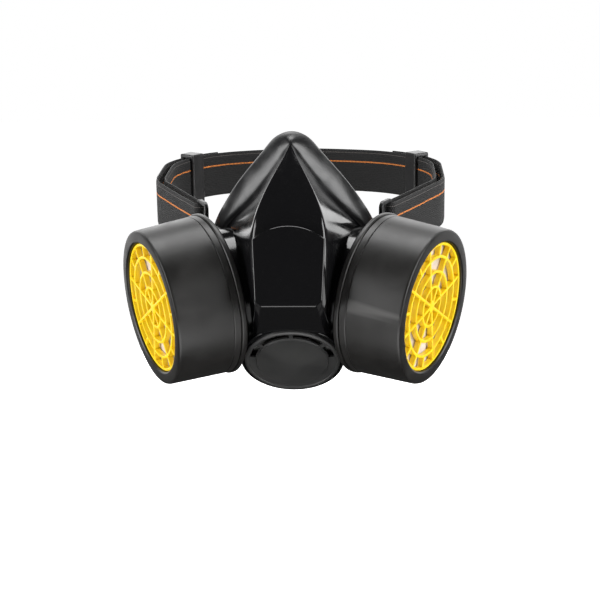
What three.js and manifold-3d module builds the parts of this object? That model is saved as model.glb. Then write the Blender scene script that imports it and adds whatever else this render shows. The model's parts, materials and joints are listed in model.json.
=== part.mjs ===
// A half-mask respirator with two screw-on filter cartridges, in millimetres.
// +Z is up, -Y is the wearer's front, +X is to the right seen from the front.
// The origin is on the centre plane, at mouth height, in the middle of the face seal.
import * as THREE from 'three';
import { mergeVertices } from 'three/addons/utils/BufferGeometryUtils.js';
import Module from 'manifold-3d';

const wasm = await Module();
wasm.setup();

// ---------------------------------------------------------------- driving dimensions

const REST_GAP = 0.3;            // between pieces that touch
const RUNNING_GAP = 0.4;         // between pieces that move past each other
const FACETS = 24;               // round every turned piece, so that nested ones line up

// Facepiece
const SHELL_WALL = 2.4;
const SEAL_WALL = 2.6;
const SEAL_BEAD = 1.3;           // the rounded outer edge
const SEAL_CHEEK = 2.4;          // the seal's outside, ahead of that edge
const SEAL_RIM_GAP = 0.4;        // behind the shell's rim
const SEAL_FLANGE_SHARE = 0.2;   // how far the flange turns in, of the way to the middle
const SHELL_TOP = 76.5;
const SHELL_BOTTOM = -49;
const BOX_HALF_WIDTH = 17.8;     // centre box, at the ends of its arched top
const BOX_FOOT_HALF_WIDTH = 16.3;
const BOX_SHOULDER = 32.3;       // height of the ends of the arched top
const BOX_ARCH = 6.7;            // rise of the arched top
const BOX_FOOT = 0.5;            // height of the box's bottom edge
const BOX_FRONT_TOP = -66.4;     // front face, at the shoulder
const BOX_FRONT_FOOT = -72;      // front face, at the bottom edge
const BOX_FLARE_HALF_WIDTH = 20;
const BOX_FLARE_DROP = 16.5;     // from the bottom edge to the flare's widest place

// Filter cartridges and the ports they screw into
const PORT_X = 43;
const PORT_Y = -22;
const PORT_SPLAY = 63.6;         // degrees outward from straight ahead
const PORT_DROP = 9;             // degrees down
const BASE_RADIUS = 42;
const BASE_PLATE = 2.5;
const BASE_RIM = 3.2;
const CASE_STEP = 0.7;           // the base rim stands out past the case by this
const CASE_DRAFT = 1.3;          // the case narrows by this towards its front
const CASE_REAR_RADIUS = BASE_RADIUS - CASE_STEP;
const CASE_FRONT_RADIUS = CASE_REAR_RADIUS - CASE_DRAFT;
const CASE_WALL = 1.8;
const CASE_LENGTH = 33;          // from the base rim to the front lip
const LIP_THICKNESS = 2.8;
const LIP_WIDTH = 6.5;
const WINDOW_RADIUS = CASE_FRONT_RADIUS - LIP_WIDTH;   // opening in the front lip
const GRILLE_RECESS = 1.5;
const GRILLE_DEPTH = 3;
const PREFILTER_THICKNESS = 3;
const SCREEN_THICKNESS = 1.6;
const FELT_THICKNESS = 2.4;
const SPIGOT_BORE = 12;
const SPIGOT_WALL = 2.6;
const SPIGOT_RADIUS = SPIGOT_BORE + SPIGOT_WALL;
const SPIGOT_LENGTH = 11.3;      // below the base's rear face
const THREAD_PITCH = 4;
const THREAD_TURNS = 1.75;
const THREAD_HEIGHT = 1.4;
const THREAD_WIDTH = 1.3;
const GASKET_THICKNESS = 1.5;
const GASKET_WIDTH = 5.2;
const GASKET_RADIUS = SPIGOT_RADIUS + RUNNING_GAP + GASKET_WIDTH;
const COLLAR_LENGTH = 10.2;
const COLLAR_FLANGE = 1.7;
const COLLAR_WALL = 2.2;
const COLLAR_LEDGE = 0.7;        // of the collar's flange, round the gasket
const TUBE_WALL = 0.9;           // of the shell's tube, round the collar's flange
const HORN_STEP = 10;            // the horn's plate is smaller than the base by this
const HORN_RADIUS = BASE_RADIUS - HORN_STEP;
const HORN_PLATE = 2.8;
const HORN_DEPTH = 24;
const HORN_REAR = -6;            // the horn's hollow front stops at this Y
const VALVE_SEAT_THICKNESS = 2;
const FLAP_THICKNESS = 0.8;
const FLAP_TRAVEL = 2;
const INHALE_FLAP_RADIUS = 14.2;
const VALVE_PIN_RADIUS = 1.6;
const VALVE_HEAD_RADIUS = 2.8;
const VALVE_HEAD_THICKNESS = 0.8;
const PIN_ROOM = VALVE_HEAD_THICKNESS + 0.4;   // the pin's head, clear of the cover

// Exhalation valve on the sloping lower face
const EXHALE_Y = -35;
const EXHALE_Z = -32.7;
const EXHALE_SLOPE = 43;         // degrees that its axis points below straight ahead
const HOUSING_LENGTH = 27;
const COVER_RADIUS = 24.6;
const COVER_DEPTH = 5;
const COVER_WALL = 1.6;
const COVER_CROWN = 1.2;         // the cover's front stands this far ahead of the housing
const SLOT_MARGIN = 1;           // between the cover's slots and its wall
const SLOT_BAND = 3.8;
const COVER_DISC_RADIUS = COVER_RADIUS - COVER_WALL - SLOT_MARGIN - SLOT_BAND;
const HOUSING_WALL = 1.5;
const HOUSING_RADIUS = COVER_RADIUS + RUNNING_GAP + HOUSING_WALL;
const SEAT_MARGIN = 3;           // between the seat and the cover's wall
const EXHALE_SEAT_RADIUS = COVER_RADIUS - COVER_WALL - SEAT_MARGIN;
const FLAP_MARGIN = 4.5;         // between the flap's edge and the seat's
const EXHALE_FLAP_RADIUS = EXHALE_SEAT_RADIUS - FLAP_MARGIN;
const EXHALE_BORE = EXHALE_FLAP_RADIUS + 0.5;

// Head strap, its loops and its sliders
const STRAP_TILT = 7.5;          // degrees that the strap rises towards the back
const STRAP_HEIGHT = 31.3;       // middle of the strap at the loops
const STRAP_Y = 3;
const STRAP_WIDTH = 26.5;
const STRAP_THICKNESS = 1.4;
const STRAP_HEADING = 24;        // degrees outward from straight back, at the loops
const STRAP_BEND = 55;           // radius of the bend beside the temples
const STRAP_HALF_WIDTH = 78;     // widest place, beside the head
const STRAP_SIDE_END = 112;      // where the strap starts round the back of the head
const STRAP_BACK_REACH = 60;     // from there to the back of the head
const STRAP_TAIL = 168;          // the folded end, from the loop back
const LOOP_BAR = 2;
const LOOP_LENGTH = 14;
const LOOP_X = 45.6;             // the loop's front bar
const LOOP_TUBE_STEP = 29.9;     // the same bar, ahead of a tube's radius behind the strap frame
const LUG_WALL = 1.6;
const LUG_HEIGHT = 12;
const LUG_WEB = 3.2;
const LUG_ROOT = [-11, -10.2];   // where the web meets the shell, from the loop's front bar
const SLIDER_LENGTH = 10;
const SLIDER_WALL = 1.8;
const SLIDER_PLACE = 30;         // degrees round the back of the head, from its side

// ---------------------------------------------------------------- helpers

const radians = THREE.MathUtils.degToRad;

// The solid inside a closed surface, with its shared points merged and its faces pointing out.
function solidOf(geometry) {
  const bare = geometry.clone();
  bare.deleteAttribute('normal');
  bare.deleteAttribute('uv');
  const merged = mergeVertices(bare, 1e-4);
  const points = merged.attributes.position;
  const index = Array.from(merged.index.array);
  const triangles = [];
  const a = new THREE.Vector3();
  const b = new THREE.Vector3();
  const c = new THREE.Vector3();
  let volume = 0;
  for (let i = 0; i < index.length; i += 3) {
    const [p, q, r] = index.slice(i, i + 3);
    if (p === q || q === r || r === p) continue;
    triangles.push(p, q, r);
    a.fromBufferAttribute(points, p);
    b.fromBufferAttribute(points, q);
    c.fromBufferAttribute(points, r);
    volume += a.dot(b.cross(c));
  }
  if (volume < 0) triangles.reverse();
  return new wasm.Manifold(new wasm.Mesh({
    numProp: 3,
    vertProperties: new Float32Array(points.array),
    triVerts: new Uint32Array(triangles),
  }));
}

function surfaceOf(solid) {
  const mesh = solid.getMesh();
  const geometry = new THREE.BufferGeometry();
  geometry.setAttribute('position', new THREE.BufferAttribute(mesh.vertProperties, 3));
  geometry.setIndex(new THREE.BufferAttribute(mesh.triVerts, 1));
  return geometry;
}

function joined(solids) {
  return solids.reduce((whole, solid) => whole.add(solid));
}

// A solid turned about Z. The profile is a closed list of [radius, height].
function turned(profile, facets = FACETS) {
  const points = profile.map(([r, z]) => new THREE.Vector2(r, z));
  points.push(points[0].clone());
  return solidOf(new THREE.LatheGeometry(points, facets).rotateX(Math.PI / 2));
}

function ring(inner, outer, low, high, facets = FACETS) {
  return turned([[inner, low], [outer, low], [outer, high], [inner, high]], facets);
}

function disc(radius, low, high, facets = FACETS) {
  return ring(0, radius, low, high, facets);
}

// An outline of [x, y] points, with holes, raised from one height to another.
function raised(outline, low, high, holes = []) {
  const toVectors = (points) => points.map(([x, y]) => new THREE.Vector2(x, y));
  const shape = new THREE.Shape(toVectors(outline));
  shape.holes = holes.map((hole) => new THREE.Path(toVectors(hole)));
  const settings = { depth: high - low, bevelEnabled: false };
  return solidOf(new THREE.ExtrudeGeometry(shape, settings).translate(0, 0, low));
}

function block(sizeX, sizeY, sizeZ, matrix) {
  return solidOf(new THREE.BoxGeometry(sizeX, sizeY, sizeZ).applyMatrix4(matrix));
}

// Closed outlines joined one to the next: into a ring, or with a cap on each end.
function lofted(outlines, { asRing = false } = {}) {
  const size = outlines[0].length;
  const positions = outlines.flat().flatMap((point) => point.toArray());
  const index = [];
  const count = outlines.length;
  const steps = asRing ? count : count - 1;
  for (let i = 0; i < steps; i += 1) {
    const here = i * size;
    const next = ((i + 1) % count) * size;
    for (let j = 0; j < size; j += 1) {
      const k = (j + 1) % size;
      index.push(here + j, here + k, next + j, next + j, here + k, next + k);
    }
  }
  if (!asRing) {
    const last = (count - 1) * size;
    for (const [start, flip] of [[0, true], [last, false]]) {
      const middle = new THREE.Vector3();
      outlines[start / size].forEach((point) => middle.addScaledVector(point, 1 / size));
      const centre = positions.length / 3;
      positions.push(...middle.toArray());
      for (let j = 0; j < size; j += 1) {
        const k = (j + 1) % size;
        if (flip) index.push(centre, start + k, start + j);
        else index.push(centre, start + j, start + k);
      }
    }
  }
  const geometry = new THREE.BufferGeometry();
  geometry.setAttribute('position', new THREE.Float32BufferAttribute(positions, 3));
  geometry.setIndex(index);
  return solidOf(geometry);
}

// A smooth function of height through [height, value] pairs, listed from the top down.
function smooth(pairs) {
  return (height) => {
    const below = pairs.findIndex(([z]) => z <= height);
    const i = below < 0 ? pairs.length - 1 : Math.max(below, 1);
    const [z0, v0] = pairs[i - 1];
    const [z1, v1] = pairs[i];
    const before = pairs[i - 2] ?? pairs[i - 1];
    const after = pairs[i + 1] ?? pairs[i];
    const slope0 = (v1 - before[1]) / (z1 - before[0]);
    const slope1 = (after[1] - v0) / (after[0] - z0);
    const span = z1 - z0;
    const s = THREE.MathUtils.clamp((height - z0) / span, 0, 1);
    const s2 = s * s;
    const s3 = s2 * s;
    return (2 * s3 - 3 * s2 + 1) * v0 + (s3 - 2 * s2 + s) * span * slope0
      + (3 * s2 - 2 * s3) * v1 + (s3 - s2) * span * slope1;
  };
}

function arc(radius, from, to, steps) {
  const points = [];
  for (let i = 0; i <= steps; i += 1) {
    const angle = radians(from + ((to - from) * i) / steps);
    points.push([radius * Math.cos(angle), radius * Math.sin(angle)]);
  }
  return points;
}

// A window between two radii and two angles.
function sector(inner, outer, from, to, steps = 1) {
  return [...arc(outer, from, to, steps), ...arc(inner, to, from, steps)];
}

// A helical ridge about Z, sunk a little into the wall that carries it.
function threadRidge(rootRadius, crestRadius, start) {
  const stepsPerTurn = 16;
  const outlines = [];
  const crestWidth = THREAD_WIDTH * 0.7;
  const sunk = rootRadius + Math.sign(rootRadius - crestRadius) * 0.5;
  for (let i = 0; i <= stepsPerTurn * THREAD_TURNS; i += 1) {
    const angle = (2 * Math.PI * i) / stepsPerTurn;
    const height = start + (THREAD_PITCH * i) / stepsPerTurn;
    const section = [
      [sunk, -THREAD_WIDTH / 2], [crestRadius, -crestWidth / 2],
      [crestRadius, crestWidth / 2], [sunk, THREAD_WIDTH / 2],
    ];
    outlines.push(section.map(([r, z]) => (
      new THREE.Vector3(r * Math.cos(angle), r * Math.sin(angle), height + z))));
  }
  return lofted(outlines);
}

function finish(colour, roughness, metalness = 0) {
  return () => new THREE.MeshStandardMaterial({ color: colour, roughness, metalness });
}

const glossBlack = finish(0x0b0b0c, 0.12);
const satinBlack = finish(0x1a1918, 0.45);
const sealRubber = finish(0x171717, 0.6);
const valveRubber = finish(0x3a3532, 0.7);
const grilleYellow = finish(0xf2c21c, 0.4);
const padWhite = finish(0xe9e2dc, 0.95);
const screenGrey = finish(0x8c8c8a, 0.6);
const carbonBlack = finish(0x101010, 0.9);
const webbingBlack = finish(0x121212, 0.9);

function piece(name, solid, material) {
  const mesh = new THREE.Mesh(surfaceOf(solid), material());
  mesh.name = name;
  return mesh;
}

// ---------------------------------------------------------------- places

// A group whose Z is a port's axis, outward, with its origin in the middle of the base rim.
function portFrame(side) {
  const splay = radians(PORT_SPLAY);
  const drop = radians(PORT_DROP);
  const axis = new THREE.Vector3(
    side * Math.sin(splay) * Math.cos(drop),
    -Math.cos(splay) * Math.cos(drop),
    -Math.sin(drop),
  );
  return frameOf(new THREE.Vector3(side * PORT_X, PORT_Y, 0), axis);
}

function frameOf(origin, axis) {
  const across = new THREE.Vector3(0, 0, 1).cross(axis).normalize();
  const up = axis.clone().cross(across);
  const group = new THREE.Group();
  group.position.copy(origin);
  group.quaternion.setFromRotationMatrix(new THREE.Matrix4().makeBasis(across, up, axis));
  group.updateMatrixWorld();
  return group;
}

// A group whose Z is the exhalation valve's axis, outward, with X across and Y up the slope.
function exhaleFrame() {
  const slope = radians(EXHALE_SLOPE);
  const axis = new THREE.Vector3(0, -Math.cos(slope), -Math.sin(slope));
  return frameOf(new THREE.Vector3(0, EXHALE_Y, EXHALE_Z), axis);
}

// A group tilted as the strap is: Y runs back along it and Z across its width.
function strapFrame() {
  const group = new THREE.Group();
  group.position.set(0, STRAP_Y, STRAP_HEIGHT);
  group.rotation.x = radians(STRAP_TILT);
  group.updateMatrixWorld();
  return group;
}

function placed(solid, group) {
  return solidOf(surfaceOf(solid).applyMatrix4(group.matrixWorld));
}

// ---------------------------------------------------------------- port levels
// Heights on a port's axis. The base rim's front is 0 and the mask is below.

const baseRear = -BASE_RIM;
const gasketTop = baseRear - REST_GAP;
const gasketFoot = gasketTop - GASKET_THICKNESS;
const collarTop = gasketFoot - REST_GAP;
const collarFlangeFoot = collarTop - COLLAR_FLANGE;
const collarFoot = collarTop - COLLAR_LENGTH;
const spigotFoot = baseRear - SPIGOT_LENGTH;
const hornFace = baseRear - RUNNING_GAP;
const hornPlateFoot = hornFace - HORN_PLATE;
const tubeFoot = collarFoot - 1;
const inhaleSeatTop = tubeFoot - REST_GAP;
const inhaleSeatFoot = inhaleSeatTop - VALVE_SEAT_THICKNESS;
const threadStart = spigotFoot + 1.2;
const threadCrest = SPIGOT_RADIUS + THREAD_HEIGHT;
const collarBore = threadCrest + RUNNING_GAP;
const collarRadius = collarBore + COLLAR_WALL;
const collarFlangeRadius = GASKET_RADIUS + COLLAR_LEDGE;
const tubeBore = collarRadius + REST_GAP;
const tubeRadius = collarFlangeRadius + REST_GAP + TUBE_WALL;

// Levels on the exhalation axis. The housing's front is 0 and the mask is below.
const coverFoot = -COVER_DEPTH;
const coverUnder = COVER_CROWN - COVER_WALL;
const exhaleFlapTop = coverUnder - FLAP_TRAVEL - RUNNING_GAP - PIN_ROOM;
const exhaleFlapFoot = exhaleFlapTop - FLAP_THICKNESS;
const exhaleSeatTop = exhaleFlapFoot - REST_GAP;
const exhaleSeatFoot = exhaleSeatTop - VALVE_SEAT_THICKNESS;

// The loop's front bar, from the middle of the strap frame: it moves back as the ports grow.
const loopY = tubeRadius - LOOP_TUBE_STEP;

// ---------------------------------------------------------------- edge of the shell

// Stations down the right side, from the nose to the chin: the seal's outer edge and,
// at the same station, the height where its front edge meets the shell.
const SEAL_MIDDLE = new THREE.Vector3(0, 0, 12);
const SEAL_STATIONS = [
  { edge: [0, -22, 83.5], rimAt: 76.5 },
  { edge: [8.5, -21.5, 80.5], rimAt: 72.5 },
  { edge: [16, -19, 72], rimAt: 64 },
  { edge: [27, -13, 59], rimAt: 52 },
  { edge: [35.5, -5, 47], rimAt: 42 },
  { edge: [42.3, 3, 34.5], rimAt: 31 },
  { edge: [46, 9, 20], rimAt: 18.5 },
  { edge: [47.4, 12.5, 5], rimAt: 5 },
  { edge: [46, 12.5, -8], rimAt: -7 },
  { edge: [41, 8, -22], rimAt: -20.5 },
  { edge: [32, 2, -35], rimAt: -32.5 },
  { edge: [20, -3, -44.5], rimAt: -42 },
  { edge: [8, -5.5, -49.5], rimAt: -47.5 },
  { edge: [0, -6, -50.3], rimAt: -49 },
];

// ---------------------------------------------------------------- front shell

const rimHalfWidth = smooth([
  [76.5, 0.5], [70, 4.6], [55, 15], [43, 26.5], [32, 37], [20, 42.5], [5, 44],
  [-8, 42.5], [-22, 37], [-34, 29.5], [-43, 19], [-49, 7],
]);
const rimDepth = smooth([
  [76.5, -34], [55, -25], [32, -9], [20, -1], [5, 4], [-8, 4], [-22, -2], [-34, -9],
  [-43, -13], [-49, -15],
]);
const creaseHalfWidth = smooth([
  [76.5, 0.3], [70.7, 3.4], [60.7, 9], [50, 14.4], [40.5, 17.2], [33, 18.3], [0, 18.5],
  [-20, 19], [-35, 18], [-43, 12], [-49, 5],
]);
const creaseDepth = smooth([
  [76.5, -35], [70.7, -40], [60.7, -48], [50, -54.4], [40.5, -59.5], [33, -62], [16, -62],
  [0, -57], [-15, -46], [-30, -32], [-43, -19], [-49, -16],
]);
const ridgeDepth = smooth([
  [76.5, -35.4], [70.7, -41], [60.7, -50.2], [50, -57.6], [40.5, -62.4], [33, -65], [16, -64.5],
  [0, -58.5], [-15, -47.5], [-30, -33.5], [-43, -20.5], [-49, -16.5],
]);

// One level outline of the nose and cheek cup. The inside stands in by the wall.
function cupOutline(height, inset, backReach) {
  const narrowest = 0.3;
  const rim = Math.max(rimHalfWidth(height) - inset, narrowest);
  const crease = Math.min(Math.max(creaseHalfWidth(height) - inset, narrowest * 0.8), rim * 0.98);
  const rimY = rimDepth(height);
  const creaseY = creaseDepth(height) + inset;
  const ridgeY = ridgeDepth(height) + inset;
  const half = [[rim, rimY + backReach]];
  if (backReach > 0) half.push([rim, rimY]);
  const flankSteps = 2;
  for (let i = 1; i <= flankSteps; i += 1) {
    const s = i / flankSteps;
    if (backReach === 0 && i === 1) half.push([rim, rimY - 0.5]);
    half.push([rim + (crease - rim) * s, rimY - 0.5 + (creaseY - rimY + 0.5) * s]);
  }
  half.push([crease * 0.55, creaseY + (ridgeY - creaseY) * 0.75]);
  const right = half.map(([x, y]) => new THREE.Vector3(x, y, height));
  const left = half.map(([x, y]) => new THREE.Vector3(-x, y, height)).reverse();
  return [...right, new THREE.Vector3(0, ridgeY, height), ...left];
}

// The space that the face seal takes, from the shell's rim back.
function sealSpace() {
  const stations = SEAL_STATIONS.map(({ edge: [x, y, z] }) => [z, x, y]);
  const edgeHalfWidth = smooth(stations.map(([z, x]) => [z, x]));
  const edgeDepth = smooth(stations.map(([z, , y]) => [z, y]));
  const clear = 1;
  const back = 60;
  const levels = 14;
  const outlines = [];
  for (let i = 0; i <= levels; i += 1) {
    const height = SHELL_TOP + 15 + ((SHELL_BOTTOM - SHELL_TOP - 30) * i) / levels;
    const rim = rimHalfWidth(height) + clear;
    const edge = Math.max(edgeHalfWidth(height), rim) + clear;
    const half = [[edge, back], [edge, edgeDepth(height)], [rim, rimDepth(height)]];
    const right = half.map(([x, y]) => new THREE.Vector3(x, y, height));
    const left = half.map(([x, y]) => new THREE.Vector3(-x, y, height)).reverse();
    outlines.push([...right, ...left]);
  }
  return lofted(outlines);
}

function cup(inset, backReach, top, bottom) {
  const levels = 16;
  const outlines = [];
  for (let i = 0; i <= levels; i += 1) {
    outlines.push(cupOutline(top + ((bottom - top) * i) / levels, inset, backReach));
  }
  return lofted(outlines);
}

// Everything on one side of a plane across the box: kept is the side away from the normal.
function halfSpace(depth, height, slopeDegrees) {
  const size = 200;
  const matrix = new THREE.Matrix4().makeTranslation(0, depth, height)
    .multiply(new THREE.Matrix4().makeRotationX(radians(slopeDegrees)))
    .multiply(new THREE.Matrix4().makeTranslation(0, size / 2, 0));
  return block(size, size, size, matrix);
}

// The centre box: an arched outline, cut by its front face and by the slope below it.
function centreBox(inset) {
  const rise = BOX_ARCH;
  const half = BOX_HALF_WIDTH;
  const radius = (half * half + rise * rise) / (2 * rise);
  const spread = THREE.MathUtils.radToDeg(Math.asin(half / radius));
  const middle = BOX_SHOULDER + rise - radius;
  const top = arc(radius - inset, 90 + spread, 90 - spread, 6).map(([x, z]) => [x, z + middle]);
  const inside = (half - inset) / half;
  const flare = BOX_FOOT - BOX_FLARE_DROP;
  const outline = [
    ...top.map(([x, z]) => [x * Math.min(1, inside + 0.02), z]),
    [BOX_FOOT_HALF_WIDTH - inset, BOX_FOOT + inset],
    [BOX_FLARE_HALF_WIDTH - inset, flare + inset],
    [BOX_FLARE_HALF_WIDTH - 4 - inset, flare - 10 + inset],
    [-BOX_FLARE_HALF_WIDTH + 4 + inset, flare - 10 + inset],
    [-BOX_FLARE_HALF_WIDTH + inset, flare + inset],
    [-BOX_FOOT_HALF_WIDTH + inset, BOX_FOOT + inset],
  ];
  const front = BOX_FRONT_FOOT - 10;
  const back = -30;
  const prism = solidOf(surfaceOf(raised(outline, 0, back - front))
    .rotateX(Math.PI / 2).translate(0, back, 0));
  const lean = THREE.MathUtils.radToDeg(
    Math.atan2(BOX_FRONT_TOP - BOX_FRONT_FOOT, BOX_SHOULDER - BOX_FOOT));
  const slopeTop = [EXHALE_Y - HOUSING_RADIUS * Math.sin(radians(EXHALE_SLOPE)),
    EXHALE_Z + HOUSING_RADIUS * Math.cos(radians(EXHALE_SLOPE))];
  const slope = THREE.MathUtils.radToDeg(
    Math.atan2(slopeTop[0] - BOX_FRONT_FOOT, BOX_FOOT - slopeTop[1]));
  return prism
    .intersect(halfSpace(BOX_FRONT_FOOT + inset, BOX_FOOT, -lean))
    .intersect(halfSpace(BOX_FRONT_FOOT + inset, BOX_FOOT + inset * 0.6, slope));
}

// A horn: the round plate that a cartridge seats on, and its hollow front down to the cup.
function hornOutside(side) {
  const frame = portFrame(side);
  const plate = placed(disc(HORN_RADIUS, hornPlateFoot, hornFace), frame);
  const body = placed(disc(HORN_RADIUS, hornPlateFoot - HORN_DEPTH, hornFace), frame);
  return plate.add(body.intersect(halfSpace(HORN_REAR, 0, 180)));
}

function hornHollow(side) {
  const inner = tubeRadius - 0.5;
  const outer = HORN_RADIUS - SHELL_WALL;
  const hollow = ring(inner, outer, hornPlateFoot - HORN_DEPTH - 4, hornPlateFoot);
  return placed(hollow, portFrame(side))
    .intersect(halfSpace(HORN_REAR - SHELL_WALL, 0, 180));
}

// The tab beside the cheek that holds the strap loop's front bar.
function strapLug(side) {
  const bore = (LOOP_BAR / 2) * Math.SQRT2 + REST_GAP;
  const radius = bore + LUG_WALL;
  const steps = 14;
  const round = raised(arc(radius, 0, 360, steps).slice(0, steps), -LUG_HEIGHT * 0.65,
    LUG_HEIGHT * 0.35);
  const [rootX, rootY] = LUG_ROOT;
  const half = LUG_WEB / 2;
  const web = raised([
    [half, -half], [-half, half], [rootX - half, rootY + half], [rootX + half, rootY - half],
  ], -LUG_HEIGHT * 0.65, LUG_HEIGHT * 0.35);
  const hole = disc(bore, -LUG_HEIGHT, LUG_HEIGHT, 12);
  const lug = surfaceOf(round.add(web).subtract(hole));
  if (side < 0) lug.scale(-1, 1, 1);
  lug.translate(side * LOOP_X, loopY, 0);
  return placed(solidOf(lug), strapFrame());
}

function frontShell() {
  const sides = [-1, 1];
  const exhale = exhaleFrame();
  const wall = SHELL_WALL;
  const housing = placed(disc(HOUSING_RADIUS, -HOUSING_LENGTH, 0), exhale);
  const outside = joined([
    cup(0, 0, SHELL_TOP, SHELL_BOTTOM), centreBox(0), housing, ...sides.map(hornOutside),
  ]);
  const inside = joined([
    cup(wall, 40, SHELL_TOP - 3 * wall, SHELL_BOTTOM + wall), centreBox(wall),
    sealSpace(), ...sides.map(hornHollow),
  ]);
  const tubes = sides.map((side) => placed(
    ring(tubeBore, tubeRadius, tubeFoot, hornPlateFoot + 1), portFrame(side)));
  const portCuts = sides.flatMap((side) => [
    placed(disc(tubeBore, tubeFoot - 6, 1), portFrame(side)),
    placed(disc(tubeRadius + REST_GAP, inhaleSeatFoot - REST_GAP, tubeFoot), portFrame(side)),
    placed(disc(collarFlangeRadius + REST_GAP, collarFlangeFoot - REST_GAP, 1),
      portFrame(side)),
    placed(disc(BASE_RADIUS + 1, hornFace, CASE_LENGTH), portFrame(side)),
  ]);
  const exhaleTube = placed(
    ring(EXHALE_BORE, EXHALE_SEAT_RADIUS + wall, exhaleSeatFoot - wall, coverFoot), exhale);
  const exhaleCuts = [
    placed(disc(COVER_RADIUS + RUNNING_GAP, coverFoot - REST_GAP, 12), exhale),
    placed(disc(EXHALE_SEAT_RADIUS + REST_GAP, exhaleSeatFoot - REST_GAP, 1), exhale),
    placed(disc(EXHALE_BORE, -HOUSING_LENGTH, 0), exhale),
  ];
  return joined([outside.subtract(inside), exhaleTube, ...tubes, ...sides.map(strapLug)])
    .subtract(joined([...portCuts, ...exhaleCuts, sealSolid(REST_GAP)]));
}

// ---------------------------------------------------------------- face seal

// The seal's sections round its edge, grown all round by a clearance where one is given.
function sealSolid(grow = 0) {
  const last = SEAL_STATIONS.length - 1;
  const half = SEAL_STATIONS.map(({ edge, rimAt }, i) => {
    const onCentre = i === 0 || i === last;
    const rim = new THREE.Vector3(onCentre ? 0 : rimHalfWidth(rimAt), 0, rimAt);
    return { edge: new THREE.Vector3(...edge), rim };
  });
  const mirror = ({ edge, rim }) => ({
    edge: new THREE.Vector3(-edge.x, edge.y, edge.z),
    rim: new THREE.Vector3(-rim.x, rim.y, rim.z),
  });
  const round = [...half, ...half.slice(1, last).reverse().map(mirror)];
  const edges = new THREE.CatmullRomCurve3(round.map(({ edge }) => edge), true);
  const rims = new THREE.CatmullRomCurve3(round.map(({ rim }) => rim), true);
  const steps = 44;
  const outlines = [];
  for (let i = 0; i < steps; i += 1) {
    const edge = edges.getPoint(i / steps);
    const rim = rims.getPoint(i / steps);
    const outward = new THREE.Vector3(edge.x, 0, edge.z - SEAL_MIDDLE.z);
    const reach = outward.length();
    outward.normalize();
    const at = (from, out, back) => {
      const point = from.clone().addScaledVector(outward, out);
      point.y = from.y + back;
      return point;
    };
    const onRim = (out) => {
      const point = rim.clone().addScaledVector(outward, out);
      point.y = rimDepth(point.z) + SEAL_RIM_GAP - grow;
      return point;
    };
    const inner = -reach * SEAL_FLANGE_SHARE - grow;
    const front = -SEAL_BEAD - grow;
    const back = SEAL_BEAD + grow;
    outlines.push([
      onRim(0.5 + grow),
      at(edge, -0.8 + grow, -SEAL_CHEEK - grow),
      at(edge, grow, -0.4),
      at(edge, -SEAL_BEAD + grow, back),
      at(edge, inner, back - SEAL_BEAD * 0.9),
      at(edge, inner, front),
      at(edge, -SEAL_WALL - SEAL_BEAD - grow, front),
      onRim(-SEAL_WALL - grow),
    ]);
  }
  return lofted(outlines, { asRing: true });
}

// ---------------------------------------------------------------- ports and valves

function portCollar() {
  const body = turned([
    [collarBore, collarFoot], [collarRadius, collarFoot], [collarRadius, collarFlangeFoot],
    [collarFlangeRadius, collarFlangeFoot], [collarFlangeRadius, collarTop],
    [collarBore, collarTop],
  ]);
  const start = threadStart - THREAD_PITCH / 2;
  return body.add(threadRidge(collarBore, collarBore - THREAD_HEIGHT, start));
}

// A valve seat: a ring with a spoked grid and, on its middle, a pin that keeps the flap.
function valveSeat(radius, opening, low, high, pinSide) {
  const windows = 6;
  const holes = [];
  const spoke = 8;
  for (let i = 0; i < windows; i += 1) {
    const from = (360 / windows) * i + spoke;
    holes.push(sector(4, opening, from, from + 360 / windows - 2 * spoke, 2));
  }
  const plate = raised(arc(radius, 0, 360, FACETS).slice(0, FACETS), low, high, holes);
  const face = pinSide > 0 ? high : low;
  const stem = pinSide * (REST_GAP + FLAP_THICKNESS + FLAP_TRAVEL + RUNNING_GAP);
  const [stemLow, stemHigh] = [face - pinSide * 0.5, face + stem].sort((a, b) => a - b);
  const [headLow, headHigh] = [face + stem, face + stem + pinSide * VALVE_HEAD_THICKNESS].sort((a, b) => a - b);
  return plate
    .add(disc(VALVE_PIN_RADIUS, stemLow, stemHigh, 10))
    .add(disc(VALVE_HEAD_RADIUS, headLow, headHigh, 10));
}

function inhaleSeat() {
  return valveSeat(tubeRadius, INHALE_FLAP_RADIUS - 1.6, inhaleSeatFoot, inhaleSeatTop, -1);
}

function inhaleFlap() {
  const top = inhaleSeatFoot - REST_GAP;
  return ring(VALVE_PIN_RADIUS + RUNNING_GAP, INHALE_FLAP_RADIUS, top - FLAP_THICKNESS, top);
}

function exhaleSeat() {
  const opening = EXHALE_FLAP_RADIUS - 1.6;
  return valveSeat(EXHALE_SEAT_RADIUS, opening, exhaleSeatFoot, exhaleSeatTop, 1);
}

function exhaleFlap() {
  const hole = VALVE_PIN_RADIUS + RUNNING_GAP;
  return ring(hole, EXHALE_FLAP_RADIUS, exhaleFlapFoot, exhaleFlapTop);
}

// The exhalation cover: a skirt, a raised disc, and arc slots round the disc's upper half.
function exhaleCover() {
  const top = COVER_CROWN;
  const slotOuter = COVER_RADIUS - COVER_WALL - SLOT_MARGIN;
  const cap = turned([
    [0, coverUnder], [COVER_RADIUS - COVER_WALL, coverUnder],
    [COVER_RADIUS - COVER_WALL, coverFoot], [COVER_RADIUS, coverFoot],
    [COVER_RADIUS, top - 1], [COVER_RADIUS - 1, top], [0, top],
  ]);
  const slots = [[10, 36], [42, 87], [93, 138], [144, 170]].map(([from, to]) => (
    raised(sector(COVER_DISC_RADIUS, slotOuter, from, to, 4), coverUnder - 1, top + 1)));
  return cap.subtract(joined(slots));
}

// ---------------------------------------------------------------- filter cartridge

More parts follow.
